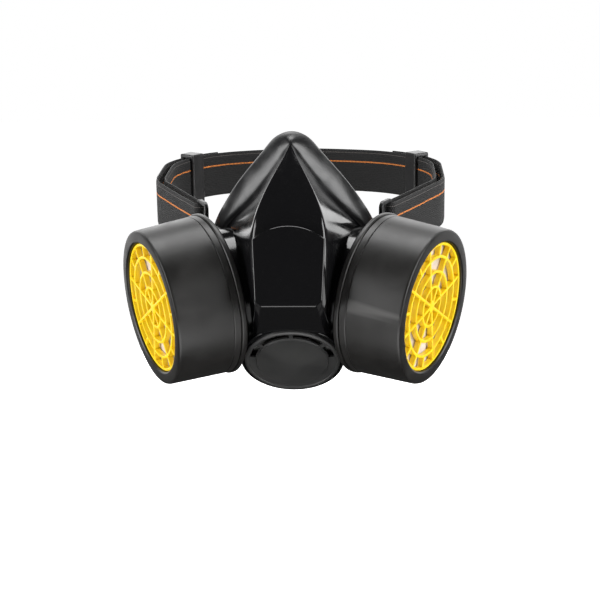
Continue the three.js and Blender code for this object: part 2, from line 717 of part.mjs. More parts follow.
const caseFoot = REST_GAP;
const lipUnder = CASE_LENGTH - LIP_THICKNESS;
const grilleFace = CASE_LENGTH - GRILLE_RECESS;
const grilleFoot = grilleFace - GRILLE_DEPTH;
const upstandHeight = 4;
const upstandWall = 1.5;
const rearInside = CASE_REAR_RADIUS - CASE_WALL;
const frontInside = CASE_FRONT_RADIUS - CASE_WALL;
const feltRadius = rearInside - REST_GAP - upstandWall - REST_GAP;
const packRadius = frontInside - REST_GAP;
const plateFace = -BASE_RIM + BASE_PLATE;

// Levels of the layers, each resting on the one below it.
const feltFoot = plateFace + REST_GAP;
const rearScreenFoot = feltFoot + FELT_THICKNESS + REST_GAP;
const carbonFoot = rearScreenFoot + SCREEN_THICKNESS + REST_GAP;
const prefilterTop = grilleFoot - REST_GAP;
const prefilterFoot = prefilterTop - PREFILTER_THICKNESS;
const frontScreenFoot = prefilterFoot - REST_GAP - SCREEN_THICKNESS;
const carbonTop = frontScreenFoot - REST_GAP;

function cartridgeBase() {
  const upstandOuter = rearInside - REST_GAP;
  const body = turned([
    [SPIGOT_BORE, spigotFoot], [SPIGOT_RADIUS, spigotFoot], [SPIGOT_RADIUS, baseRear],
    [BASE_RADIUS - 0.6, baseRear], [BASE_RADIUS, baseRear + 0.6], [BASE_RADIUS, -0.6],
    [BASE_RADIUS - 0.6, 0], [upstandOuter, 0], [upstandOuter, upstandHeight],
    [upstandOuter - upstandWall, upstandHeight], [upstandOuter - upstandWall, plateFace],
    [SPIGOT_BORE, plateFace],
  ]);
  return body.add(threadRidge(SPIGOT_RADIUS, threadCrest, threadStart));
}

function cartridgeCase() {
  const round = 1.4;
  return turned([
    [rearInside, caseFoot], [CASE_REAR_RADIUS, caseFoot],
    [CASE_FRONT_RADIUS, CASE_LENGTH - round], [CASE_FRONT_RADIUS - 0.5, CASE_LENGTH - 0.4],
    [CASE_FRONT_RADIUS - round, CASE_LENGTH], [WINDOW_RADIUS, CASE_LENGTH],
    [WINDOW_RADIUS, lipUnder], [frontInside, lipUnder],
  ]);
}

// The snap-in grille: a flange behind the lip, and a face of windows between rings and spokes.
function cartridgeGrille() {
  const face = WINDOW_RADIUS - REST_GAP;
  const rib = 1.4;
  const bands = [
    { inner: 3.4, outer: 0.3 * face, count: 6, turn: 0 },
    { inner: 0.3 * face + rib, outer: 0.62 * face, count: 8, turn: 22.5 },
    { inner: 0.62 * face + rib, outer: face - rib, count: 12, turn: 0 },
  ];
  const holes = bands.flatMap(({ inner, outer, count, turn }) => {
    const spoke = THREE.MathUtils.radToDeg(rib / (inner + outer));
    return Array.from({ length: count }, (_, i) => {
      const from = turn + (360 / count) * i + spoke;
      return sector(inner, outer, from, from + 360 / count - 2 * spoke);
    });
  });
  const plate = raised(arc(face, 0, 360, FACETS).slice(0, FACETS), grilleFoot, grilleFace, holes);
  const flangeTop = lipUnder - REST_GAP;
  return plate.add(ring(face - rib, packRadius, grilleFoot, flangeTop));
}

function screen(radius, low) {
  const windows = 6;
  const spoke = 3;
  const holes = [];
  for (const [inner, outer] of [[4, radius * 0.5], [radius * 0.5 + 2, radius - 2.5]]) {
    for (let i = 0; i < windows; i += 1) {
      const from = (360 / windows) * i + spoke;
      holes.push(sector(inner, outer, from, from + 360 / windows - 2 * spoke));
    }
  }
  const edge = arc(radius, 0, 360, FACETS).slice(0, FACETS);
  return raised(edge, low, low + SCREEN_THICKNESS, holes);
}

function cartridge(sideName, side) {
  const group = portFrame(side);
  const add = (name, solid, material) => group.add(piece(`${name}_${sideName}`, solid, material));
  add('cartridge_case', cartridgeCase(), satinBlack);
  add('cartridge_base', cartridgeBase(), satinBlack);
  add('cartridge_grille', cartridgeGrille(), grilleYellow);
  add('cartridge_prefilter', disc(packRadius, prefilterFoot, prefilterTop), padWhite);
  add('cartridge_front_screen', screen(packRadius, frontScreenFoot), screenGrey);
  add('cartridge_carbon_bed', disc(packRadius, carbonFoot, carbonTop), carbonBlack);
  add('cartridge_rear_screen', screen(feltRadius, rearScreenFoot), screenGrey);
  add('cartridge_dust_felt', disc(feltRadius, feltFoot, feltFoot + FELT_THICKNESS), padWhite);
  add('cartridge_gasket',
    ring(SPIGOT_RADIUS + RUNNING_GAP, GASKET_RADIUS, gasketFoot, gasketTop), valveRubber);
  add('port_collar', portCollar(), satinBlack);
  add('inhale_valve_seat', inhaleSeat(), screenGrey);
  add('inhale_valve_flap', inhaleFlap(), valveRubber);
  return group;
}

// ---------------------------------------------------------------- head strap

const heading = radians(STRAP_HEADING);
const foldRadius = (LOOP_BAR / 2) * Math.SQRT2 + 0.2;      // inside of the fold round the bar
const strandSpacing = 2 * foldRadius + STRAP_THICKNESS;
const rearBar = [
  LOOP_X + (LOOP_LENGTH - LOOP_BAR) * Math.sin(heading),
  loopY + (LOOP_LENGTH - LOOP_BAR) * Math.cos(heading),
];

// A point on the middle of the main strand, round the back of the head.
function backPoint(turn) {
  const x = STRAP_HALF_WIDTH * Math.cos(turn);
  const y = STRAP_SIDE_END + STRAP_BACK_REACH * Math.sin(turn);
  const angle = -Math.atan2(
    STRAP_HALF_WIDTH * Math.sin(turn), STRAP_BACK_REACH * Math.cos(turn));
  return { x, y, angle };
}

// Points on the middle of the main strand, right side, from the loop to the back of the head.
function strapRoute() {
  const start = [
    rearBar[0] - (strandSpacing / 2) * Math.cos(heading),
    rearBar[1] + (strandSpacing / 2) * Math.sin(heading),
  ];
  const route = [];
  const bendWidth = STRAP_BEND * (1 - Math.cos(heading));
  const straight = (STRAP_HALF_WIDTH - bendWidth - start[0]) / Math.sin(heading);
  const straightSteps = 3;
  for (let i = 0; i < straightSteps; i += 1) {
    const run = (straight * i) / straightSteps;
    const x = start[0] + run * Math.sin(heading);
    route.push({ x, y: start[1] + run * Math.cos(heading), angle: heading });
  }
  const bendY = start[1] + straight * Math.cos(heading);
  const bendSteps = 5;
  for (let i = 0; i <= bendSteps; i += 1) {
    const angle = heading * (1 - i / bendSteps);
    const x = STRAP_HALF_WIDTH - STRAP_BEND * (1 - Math.cos(angle));
    const y = bendY + STRAP_BEND * (Math.sin(heading) - Math.sin(angle));
    route.push({ x, y, angle });
  }
  const backSteps = 18;
  for (let i = 0; i <= backSteps; i += 1) {
    route.push(backPoint((Math.PI / 2) * (i / backSteps)));
  }
  return route;
}

// A route point moved outward, square to the strap.
function beside({ x, y, angle }, out) {
  return [x + out * Math.cos(angle), y - out * Math.sin(angle)];
}

function elasticStrap() {
  const route = strapRoute();
  const half = STRAP_THICKNESS / 2;
  const tail = [];
  let run = 0;
  for (let i = 0; i < route.length; i += 1) {
    if (i > 0) run += Math.hypot(route[i].x - route[i - 1].x, route[i].y - route[i - 1].y);
    if (run > STRAP_TAIL) break;
    tail.push(route[i]);
  }
  const fold = (radius) => {
    const points = [];
    const steps = 8;
    for (let i = 1; i < steps; i += 1) {
      const turn = -heading - (Math.PI * i) / steps;
      points.push([rearBar[0] + radius * Math.cos(turn), rearBar[1] + radius * Math.sin(turn)]);
    }
    return points;
  };
  const tailOut = tail.map((point) => beside(point, strandSpacing + half)).reverse();
  const tailIn = tail.map((point) => beside(point, strandSpacing - half));
  const mainIn = route.map((point) => beside(point, -half));
  const mainOut = route.map((point) => beside(point, half)).reverse();
  const mirrored = (points) => points.map(([x, y]) => [-x, y]).reverse();
  const outer = [...tailOut, ...fold(foldRadius + STRAP_THICKNESS), ...mainIn];
  const inner = [...mainOut, ...fold(foldRadius).reverse(), ...tailIn];
  const outline = [...outer, ...mirrored(outer.slice(0, -1)), ...mirrored(inner.slice(1)), ...inner];
  return raised(outline, -STRAP_WIDTH / 2, STRAP_WIDTH / 2);
}

function roundedRectangle(halfWidth, halfHeight, radius) {
  const corners = [[1, 1, 0], [-1, 1, 90], [-1, -1, 180], [1, -1, 270]];
  return corners.flatMap(([sx, sy, from]) => (
    arc(radius, from, from + 90, 3).map(([x, y]) => (
      [x + sx * (halfWidth - radius), y + sy * (halfHeight - radius)]))));
}

// The loop stands in the plane of the strap, with its bars up and down.
function strapLoop(side) {
  const halfLength = LOOP_LENGTH / 2;
  const halfHeight = STRAP_WIDTH / 2 + 2 * REST_GAP + LOOP_BAR;
  const frame = raised(
    roundedRectangle(halfLength, halfHeight, 4), -LOOP_BAR / 2, LOOP_BAR / 2,
    [roundedRectangle(halfLength - LOOP_BAR, halfHeight - LOOP_BAR, REST_GAP)],
  );
  const alongStrap = new THREE.Vector3(side * Math.sin(heading), Math.cos(heading), 0);
  const up = new THREE.Vector3(0, 0, 1);
  const through = alongStrap.clone().cross(up);
  const middle = new THREE.Vector3(side * LOOP_X, loopY, 0)
    .addScaledVector(alongStrap, halfLength - LOOP_BAR / 2);
  const matrix = new THREE.Matrix4().makeBasis(alongStrap, up, through).setPosition(middle);
  return solidOf(surfaceOf(frame).applyMatrix4(matrix));
}

// A frame with one slot for each strand of the strap, wide enough for the strap's tightest curve.
function strapSlider(side) {
  const tightest = STRAP_BACK_REACH ** 2 / STRAP_HALF_WIDTH;
  const curveRoom = SLIDER_LENGTH ** 2 / (8 * tightest);
  const slot = STRAP_THICKNESS / 2 + RUNNING_GAP + curveRoom;
  const halfThickness = strandSpacing / 2 + slot + SLIDER_WALL;
  const halfHeight = STRAP_WIDTH / 2 + RUNNING_GAP + SLIDER_WALL;
  const body = block(2 * halfThickness, SLIDER_LENGTH, 2 * halfHeight, new THREE.Matrix4());
  const slots = [-1, 1].map((strand) => {
    const matrix = new THREE.Matrix4().makeTranslation((strand * strandSpacing) / 2, 0, 0);
    return block(2 * slot, SLIDER_LENGTH + 2, STRAP_WIDTH + 2 * RUNNING_GAP, matrix);
  });
  const place = backPoint(radians(SLIDER_PLACE));
  const [x, y] = beside(place, strandSpacing / 2);
  const outward = new THREE.Vector3(side * Math.cos(place.angle), -Math.sin(place.angle), 0);
  const along = new THREE.Vector3(side * Math.sin(place.angle), Math.cos(place.angle), 0);
  const matrix = new THREE.Matrix4()
    .makeBasis(outward, along, outward.clone().cross(along)).setPosition(side * x, y, 0);
  return solidOf(surfaceOf(body.subtract(joined(slots))).applyMatrix4(matrix));
}

// ---------------------------------------------------------------- the whole respirator

const respirator = new THREE.Group();
respirator.add(piece('front_shell', frontShell(), glossBlack));
respirator.add(piece('face_seal', sealSolid(), sealRubber));

const exhaleGroup = exhaleFrame();
exhaleGroup.add(piece('exhale_valve_seat', exhaleSeat(), screenGrey));
exhaleGroup.add(piece('exhale_valve_flap', exhaleFlap(), valveRubber));
exhaleGroup.add(piece('exhale_valve_cover', exhaleCover(), satinBlack));
respirator.add(exhaleGroup);

const strapGroup = strapFrame();
strapGroup.add(piece('elastic_strap', elasticStrap(), webbingBlack));
for (const [sideName, side] of [['left', -1], ['right', 1]]) {
  respirator.add(cartridge(sideName, side));
  strapGroup.add(piece(`strap_loop_${sideName}`, strapLoop(side), satinBlack));
  strapGroup.add(piece(`strap_slider_${sideName}`, strapSlider(side), satinBlack));
}
respirator.add(strapGroup);

export default respirator;
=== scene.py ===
import json
import math

import bmesh
import bpy
from mathutils import Matrix, Vector


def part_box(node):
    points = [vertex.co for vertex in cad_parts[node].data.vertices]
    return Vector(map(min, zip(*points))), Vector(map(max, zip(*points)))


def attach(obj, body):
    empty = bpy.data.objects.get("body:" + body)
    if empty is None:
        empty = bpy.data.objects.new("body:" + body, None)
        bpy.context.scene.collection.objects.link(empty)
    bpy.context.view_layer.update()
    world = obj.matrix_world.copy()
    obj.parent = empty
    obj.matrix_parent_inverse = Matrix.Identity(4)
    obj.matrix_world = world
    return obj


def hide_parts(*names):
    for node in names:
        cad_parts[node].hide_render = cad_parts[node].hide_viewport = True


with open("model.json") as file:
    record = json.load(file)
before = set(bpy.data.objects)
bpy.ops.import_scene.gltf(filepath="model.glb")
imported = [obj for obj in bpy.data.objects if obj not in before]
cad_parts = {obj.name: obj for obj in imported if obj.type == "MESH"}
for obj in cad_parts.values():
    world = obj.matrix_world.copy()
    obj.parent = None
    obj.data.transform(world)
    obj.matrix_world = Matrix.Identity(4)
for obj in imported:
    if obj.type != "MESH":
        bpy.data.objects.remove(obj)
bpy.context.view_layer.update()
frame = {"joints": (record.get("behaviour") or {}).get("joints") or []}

MM = 0.001
AROUND = 96              # steps round a large turned piece
REST_GAP = 0.3           # mm, between pieces that touch
RUNNING_GAP = 0.4        # mm, between pieces that move past each other
SIDES = (("left", -1), ("right", 1))
STRAP_ORIGIN = (0, 0.003, 0.0313)      # m, midway between the two strap loops
IN_MM = Matrix.Scale(MM, 4)            # millimetres into the frame's metres
TO_MM = Matrix.Scale(1 / MM, 4)        # and back


# ---------------------------------------------------------------- places

def joint(name):
    return next(j for j in frame["joints"] if j["name"] == name)


def axes_at(origin, axis):
    """Places a piece made about Z in mm: Z becomes the axis, X is level and Y points up."""
    z = Vector(axis).normalized()
    x = Vector((0, 0, 1)).cross(z).normalized()
    y = z.cross(x)
    turn = Matrix((x, y, z)).transposed().to_4x4()
    return Matrix.Translation(Vector(origin)) @ turn @ Matrix.Scale(MM, 4)


def port_place(side_name):
    hinge = joint(f"cartridge_turn_{side_name}")
    return axes_at(hinge["pos_m"], hinge["axis"])


def exhale_place():
    """The housing's front, on its own axis, from the middle of the cover."""
    axis = Vector(joint("exhale_cover_pull")["axis"]).normalized()
    low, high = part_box("exhale_valve_cover")
    middle = (low + high) / 2
    return axes_at(middle - axis * ((COVER_FOOT + COVER_CROWN) / 2 * MM), axis)


def strap_place():
    """X to the right, Y back along the strap, Z across its width; the origin is between the loops."""
    z = Vector(joint("strap_slider_slide_right")["axis"]).normalized()
    y = z.cross(Vector((1, 0, 0)))
    turn = Matrix((Vector((1, 0, 0)), y, z)).transposed().to_4x4()
    return Matrix.Translation(STRAP_ORIGIN) @ turn @ Matrix.Scale(MM, 4)


# ---------------------------------------------------------------- mesh helpers

def object_from(bm, name):
    bmesh.ops.recalc_face_normals(bm, faces=bm.faces)
    mesh = bpy.data.meshes.new(name)
    bm.to_mesh(mesh)
    bm.free()
    obj = bpy.data.objects.new(name, mesh)
    bpy.context.scene.collection.objects.link(obj)
    return obj


def apply_modifiers(obj):
    graph = bpy.context.evaluated_depsgraph_get()
    made = bpy.data.meshes.new_from_object(obj.evaluated_get(graph))
    obj.modifiers.clear()
    obj.data = made


def shade(obj, sharp_degrees):
    """Smooth shading that breaks at sharp corners and stays level on flat faces."""
    for polygon in obj.data.polygons:
        polygon.use_smooth = True
    obj.data.set_sharp_from_angle(angle=math.radians(sharp_degrees))
    flat = obj.modifiers.new("flat_faces", "WEIGHTED_NORMAL")
    flat.keep_sharp = True
    apply_modifiers(obj)


def finish_piece(obj, finish, body, replaced=(), sharp_degrees=32):
    """Gives a piece its finish, the body it rides on and the nodes that it replaces."""
    obj.data.materials.clear()
    obj.data.materials.append(finish)
    shade(obj, sharp_degrees)
    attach(obj, body)
    if replaced:
        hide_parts(*replaced)
    return obj


def corner_edges(bm, degrees=28):
    limit = math.radians(degrees)
    return [e for e in bm.edges if e.is_manifold and e.calc_face_angle(0) > limit]


def round_edges(bm, edges, radius, segments=2):
    bmesh.ops.bevel(bm, geom=edges, offset=radius, offset_type="OFFSET", segments=segments,
                    profile=0.5, affect="EDGES", material=-1, clamp_overlap=True)


def turned(profile, rounding=0.35, steps=AROUND, segments=2):
    """A closed profile of (radius, height) points spun about Z, with its corners rounded."""
    bm = bmesh.new()
    points = [bm.verts.new((r, 0, z)) for r, z in profile]
    edges = [bm.edges.new((a, b)) for a, b in zip(points, points[1:] + points[:1])
             if a.co.x > 0 or b.co.x > 0]
    bmesh.ops.spin(bm, geom=points + edges, cent=(0, 0, 0), axis=(0, 0, 1),
                   angle=2 * math.pi, steps=steps, use_merge=True, use_duplicate=False)
    bmesh.ops.remove_doubles(bm, verts=bm.verts, dist=1e-4)
    bmesh.ops.recalc_face_normals(bm, faces=bm.faces)
    if rounding:
        round_edges(bm, corner_edges(bm), rounding, segments)
    return bm


def disc(radius, low, high, rounding=0.35, steps=AROUND):
    return turned([(0, low), (radius, low), (radius, high), (0, high)], rounding, steps)


def ring(inner, outer, low, high, rounding=0.35, steps=AROUND):
    return turned([(inner, low), (outer, low), (outer, high), (inner, high)], rounding, steps)


def bar(length, width, low, high, start=0.0, turn=0.0, rounding=0.3, segments=2):
    """A straight rib along X from start, turned about Z by degrees."""
    bm = bmesh.new()
    bmesh.ops.create_cube(bm, size=1)
    bmesh.ops.scale(bm, vec=(length, width, high - low), verts=bm.verts)
    bmesh.ops.translate(bm, vec=(start + length / 2, 0, (low + high) / 2), verts=bm.verts)
    if rounding:
        round_edges(bm, list(bm.edges), rounding, segments)
    bmesh.ops.rotate(bm, cent=(0, 0, 0), matrix=Matrix.Rotation(math.radians(turn), 3, "Z"),
                     verts=bm.verts)
    return bm


def skin(bm, loops, closed=False):
    """Walls from each loop of points to the next, and a cap at each end unless they close."""
    size = len(loops[0])
    following = loops[1:] + loops[:1] if closed else loops[1:]
    for here, after in zip(loops, following):
        for i in range(size):
            j = (i + 1) % size
            bm.faces.new((here[i], here[j], after[j], after[i]))
    if not closed:
        for cap in (loops[0], loops[-1]):
            bm.faces.new(cap)


def combine(obj, tools, operation):
    """Joins or cuts closed shapes, and removes the tools."""
    for tool in tools:
        modifier = obj.modifiers.new(operation, "BOOLEAN")
        modifier.object = tool
        modifier.operation = operation
        modifier.solver = "MANIFOLD"
    apply_modifiers(obj)
    for tool in tools:
        bpy.data.objects.remove(tool)
    return obj


def place(bm_or_obj, matrix, name="shape"):
    """A bmesh, or an object's mesh, moved to its place in the frame."""
    obj = bm_or_obj if isinstance(bm_or_obj, bpy.types.Object) else object_from(bm_or_obj, name)
    obj.data.transform(matrix)
    obj.data.update()
    return obj


# ---------------------------------------------------------------- materials

def material(name, build):
    made = bpy.data.materials.new(name)
    made.use_nodes = True
    nodes = made.node_tree.nodes
    nodes.clear()
    out = nodes.new("ShaderNodeOutputMaterial")
    shader = nodes.new("ShaderNodeBsdfPrincipled")
    made.node_tree.links.new(shader.outputs["BSDF"], out.inputs["Surface"])
    build(Nodes(made.node_tree, shader))
    return made


class Nodes:
    """Short names for the nodes that the finishes share."""

    def __init__(self, tree, shader):
        self.tree = tree
        self.shader = shader

    def add(self, kind, **inputs):
        node = self.tree.nodes.new(kind)
        for name, value in inputs.items():
            self.plug(node, name.replace("_", " "), value)
        return node

    def plug(self, node, name, value):
        if isinstance(value, bpy.types.NodeSocket):
            self.tree.links.new(value, node.inputs[name])
        else:
            node.inputs[name].default_value = value

    def set(self, **inputs):
        for name, value in inputs.items():
            self.plug(self.shader, name.replace("_", " "), value)

    def object_coords(self):
        return self.add("ShaderNodeTexCoord").outputs["Object"]

    def uv(self):
        return self.add("ShaderNodeTexCoord").outputs["UV"]

    def noise(self, scale, detail=3.0, roughness=0.55, coords=None, distortion=0.0):
        node = self.add("ShaderNodeTexNoise", Scale=scale, Detail=detail, Roughness=roughness,
                        Distortion=distortion)
        self.plug(node, "Vector", coords or self.object_coords())
        return node.outputs["Fac"]

    def ramp(self, value, low, high, to_low=0.0, to_high=1.0):
        node = self.add("ShaderNodeMapRange")
        for name, number in (("From Min", low), ("From Max", high),
                             ("To Min", to_low), ("To Max", to_high)):
            node.inputs[name].default_value = number
        self.plug(node, "Value", value)
        return node.outputs["Result"]

    def math(self, operation, a, b=None):
        node = self.add("ShaderNodeMath")
        node.operation = operation
        for i, value in enumerate((a, b)):
            if value is None:
                continue
            if isinstance(value, bpy.types.NodeSocket):
                self.tree.links.new(value, node.inputs[i])
            else:
                node.inputs[i].default_value = value
        return node.outputs["Value"]

    def mix(self, factor, a, b):
        node = self.tree.nodes.new("ShaderNodeMix")
        node.data_type = "RGBA"
        for name, value in (("Factor", factor), ("A", a), ("B", b)):
            socket = next(s for s in node.inputs if s.name == name
                          and s.type == ("VALUE" if name == "Factor" else "RGBA"))
            if isinstance(value, bpy.types.NodeSocket):
                self.tree.links.new(value, socket)
            else:
                socket.default_value = value if name == "Factor" else (*value, 1)
        return next(s for s in node.outputs if s.type == "RGBA")

    def bump(self, height, strength, distance_mm, normal=None):
        node = self.add("ShaderNodeBump", Strength=strength, Distance=distance_mm * MM)
        self.plug(node, "Height", height)
        if normal is not None:
            self.plug(node, "Normal", normal)
        return node.outputs["Normal"]

    def painted_edge_highlight(self, low=0.52, high=0.62):
        """A painted highlight: white where the surface turns sharply outwards."""
        return self.ramp(self.add("ShaderNodeNewGeometry").outputs["Pointiness"], low, high)


def gloss_shell_finish(n):
    """Polished moulded plastic: faint flow waves, fine dust and a few soft handling marks."""
    waves = n.noise(38, 2.0)
    dust = n.ramp(n.noise(1900, 2.0), 0.62, 0.78)
    marks = n.noise(90, 4.0, distortion=1.2)
    n.set(Base_Color=n.mix(n.math("MULTIPLY", dust, 0.25), (0.0045, 0.0045, 0.005), (0.05, 0.05, 0.05)),
          Roughness=n.ramp(marks, 0.35, 0.75, 0.07, 0.17),
          Specular_IOR_Level=0.5,
          Normal=n.bump(waves, 0.05, 0.6))


def satin_finish(dark, light, low_roughness, high_roughness):
    """Moulded plastic with a fine spark-eroded texture, long flow marks and a painted highlight along its
    sharp outward edges.
    """
    def build(n):
        grain = n.noise(2600, 2.0)
        flow = n.noise(55, 3.0, distortion=0.8)
        colour = n.mix(n.ramp(flow, 0.3, 0.75), dark, light)
        # paler grey along sharp outward edges: a painted highlight
        with_painted_highlight = n.mix(n.math("MULTIPLY", n.painted_edge_highlight(), 0.45), colour, (0.11, 0.108, 0.105))
        n.set(Base_Color=with_painted_highlight,
              Roughness=n.ramp(flow, 0.3, 0.7, low_roughness, high_roughness),
              Specular_IOR_Level=0.45,
              Normal=n.bump(grain, 0.12, 0.05, n.bump(flow, 0.12, 0.5)))
    return build


def rubber_finish(colour, roughness):
    """Soft moulded rubber with a bloom of fine powder in patches."""
    def build(n):
        bloom = n.ramp(n.noise(120, 5.0), 0.45, 0.75)
        fine = n.noise(3200, 2.0)
        pale = tuple(min(1, c * 1.9 + 0.008) for c in colour)
        n.set(Base_Color=n.mix(n.math("MULTIPLY", bloom, 0.55), colour, pale),
              Roughness=n.ramp(bloom, 0.0, 1.0, roughness - 0.07, roughness + 0.07),
              Specular_IOR_Level=0.5,
              Normal=n.bump(fine, 0.14, 0.04))
    return build


def grille_finish(n):
    """Yellow moulded plastic, a little deeper in colour in scattered patches."""
    flow = n.noise(140, 3.0)
    grain = n.noise(2400, 2.0)
    colour = n.mix(n.ramp(flow, 0.3, 0.75), (0.93, 0.62, 0.008), (0.98, 0.72, 0.018))
    dirty = n.mix(n.ramp(n.noise(420, 4.0), 0.6, 0.8, 0.0, 0.12), colour, (0.5, 0.27, 0.005))
    n.set(Base_Color=dirty,
          Roughness=n.ramp(flow, 0.3, 0.7, 0.32, 0.42),
          Subsurface_Weight=0.12,
          Subsurface_Radius=(0.004, 0.002, 0.0006),
          Normal=n.bump(grain, 0.08, 0.04))


def felt_finish(n):
    """Needled white fibre: matted strands of several sizes with a faint warm cast."""
    strands = n.noise(1500, 6.0, 0.75, distortion=2.5)
    clumps = n.noise(260, 3.0)
    n.set(Base_Color=n.mix(n.ramp(clumps, 0.3, 0.7), (0.60, 0.52, 0.49), (0.73, 0.66, 0.63)),
          Roughness=0.95,
          Sheen_Weight=0.4,
          Sheen_Roughness=0.5,
          Normal=n.bump(strands, 0.7, 0.35))


def carbon_finish(n):
    """Packed charcoal granules, each with its own facets and shine."""
    cells = n.add("ShaderNodeTexVoronoi", Scale=900.0)
    n.plug(cells, "Vector", n.object_coords())
    n.set(Base_Color=n.mix(cells.outputs["Distance"], (0.03, 0.03, 0.031), (0.006, 0.006, 0.006)),
          Roughness=n.ramp(n.noise(700), 0.3, 0.7, 0.35, 0.8),
          Normal=n.bump(cells.outputs["Distance"], 0.9, 0.5))


WEBBING_WIDTH = 26.5
RIB_PITCH = 0.95         # mm, along the webbing
CORD_PITCH = 1.15        # mm, across it
ORANGE_THREAD = (7.6, 0.85)     # mm in from the upper edge, and its width
PALE_THREAD = (1.9, 0.4)


def webbing_finish(n):
    """Woven elastic: cross ribs over rows of cords, an orange thread and a pale one by the edge."""
    split = n.add("ShaderNodeSeparateXYZ")
    n.plug(split, "Vector", n.uv())
    along, across = split.outputs["X"], split.outputs["Y"]

    def wave(value, pitch, shift=0.0):
        phase = n.math("ADD", n.math("MULTIPLY", value, 2 * math.pi / pitch), shift)
        return n.math("MULTIPLY", n.math("ADD", n.math("SINE", phase), 1.0), 0.5)

    row = n.math("FLOOR", n.math("DIVIDE", across, CORD_PITCH))
    stagger = n.math("MULTIPLY", n.math("MODULO", row, 2.0), math.pi)
    ribs = wave(along, RIB_PITCH, stagger)
    cords = wave(across, CORD_PITCH)
    weave = n.math("ADD", n.math("MULTIPLY", ribs, 0.55), n.math("MULTIPLY", cords, 0.45))
    fibre = n.noise(5200, 3.0, 0.7)

    def line(inset, width):
        away = n.math("ABSOLUTE", n.math("SUBTRACT", across, WEBBING_WIDTH - inset))
        return n.math("LESS_THAN", away, width / 2)

    broken = n.ramp(ribs, 0.12, 0.3)
    orange = n.math("MULTIPLY", line(*ORANGE_THREAD), broken)
    pale = n.math("MULTIPLY", line(*PALE_THREAD), broken)
    cloth = n.mix(weave, (0.0025, 0.0025, 0.003), (0.0125, 0.0122, 0.0118))
    with_pale = n.mix(n.math("MULTIPLY", pale, 0.55), cloth, (0.17, 0.15, 0.14))
    n.set(Base_Color=n.mix(orange, with_pale, (0.82, 0.25, 0.045)),
          Roughness=0.8,
          Sheen_Weight=0.05,
          Sheen_Roughness=0.45,
          Normal=n.bump(weave, 0.75, 0.3, n.bump(fibre, 0.3, 0.08)))


GLOSS_SHELL = material("polished_black_shell", gloss_shell_finish)
CASE_BLACK = material("satin_black_case", satin_finish(
    (0.0065, 0.006, 0.0056), (0.0125, 0.0118, 0.011), 0.34, 0.44))
VALVE_BLACK = material("satin_black_cover", satin_finish(
    (0.022, 0.022, 0.022), (0.034, 0.034, 0.033), 0.38, 0.48))
BUCKLE_BLACK = material("satin_black_buckle", satin_finish(
    (0.010, 0.010, 0.011), (0.018, 0.018, 0.019), 0.3, 0.42))
SCREEN_GREY = material("grey_inner_plastic", satin_finish(
    (0.20, 0.20, 0.195), (0.27, 0.27, 0.26), 0.45, 0.55))
SEAL_BLACK = material("black_seal_rubber", rubber_finish((0.010, 0.010, 0.0105), 0.36))
FLAP_BROWN = material("valve_rubber", rubber_finish((0.045, 0.035, 0.030), 0.5))
GRILLE_YELLOW = material("yellow_grille_plastic", grille_finish)
PAD_WHITE = material("white_needle_felt", felt_finish)
CARBON = material("carbon_granules", carbon_finish)
WEBBING = material("black_woven_elastic", webbing_finish)


# ---------------------------------------------------------------- camera, floor and light

CAMERA_LENS = 90.6                            # mm, on a 36 mm sensor
CAMERA_AT = (0.035633, -0.791418, 0.104995)   # m
CAMERA_BACK = (0.04118, -0.98941, 0.13916)    # the way its back faces
CAMERA_ROLL = math.radians(-0.501)
FLOOR_LEVEL = -0.32                           # m
FLOOR_REACH = 40.0                            # m, from its middle to each edge
BACKDROP = 1.0                                # brightness, as the camera sees it
FILL = 0.05                                   # brightness, as the mask is lit by it

# Each softbox: its name, place, what it faces, its width and height in metres, and its watts.
SOFTBOXES = (
    ("rear_softbox", (0, 1.5, 0.35), (0, 0, 0.03), 3.2, 1.7, 36),
    ("left_softbox", (-1.15, -0.5, 0.2), (0, 0, 0), 0.8, 1.2, 23),
    ("right_softbox", (1.15, -0.45, 0.25), (0, 0, 0), 0.8, 1.2, 23),
    ("low_softbox", (0, -0.32, -0.3), (0, -0.05, -0.03), 0.5, 0.3, 1.6),
    ("top_softbox", (0, 0.35, 1.3), (0, 0, 0), 1.0, 0.6, 12),
)


def set_camera():
    data = bpy.data.cameras.new("camera")
    data.lens = CAMERA_LENS
    data.sensor_width = 36.0
    data.clip_start = 0.01
    data.clip_end = 20.0
    camera = bpy.data.objects.new("camera", data)
    bpy.context.scene.collection.objects.link(camera)
    back = Vector(CAMERA_BACK).normalized()
    right = Vector((0, 0, 1)).cross(back).normalized()
    up = back.cross(right)
    level = right * math.cos(CAMERA_ROLL) + up * math.sin(CAMERA_ROLL)
    top = up * math.cos(CAMERA_ROLL) - right * math.sin(CAMERA_ROLL)
    turn = Matrix((level, top, back)).transposed().to_4x4()
    camera.matrix_world = Matrix.Translation(CAMERA_AT) @ turn
    bpy.context.scene.camera = camera


def soft_light(name, centre, towards, width, height, power):
    data = bpy.data.lights.new(name, "AREA")
    data.shape = "RECTANGLE"
    data.size = width
    data.size_y = height
    data.energy = power
    lamp = bpy.data.objects.new(name, data)
    bpy.context.scene.collection.objects.link(lamp)
    lamp.location = centre
    lamp.visible_camera = False
    lamp.rotation_euler = (Vector(towards) - Vector(centre)).to_track_quat("-Z", "Y").to_euler()


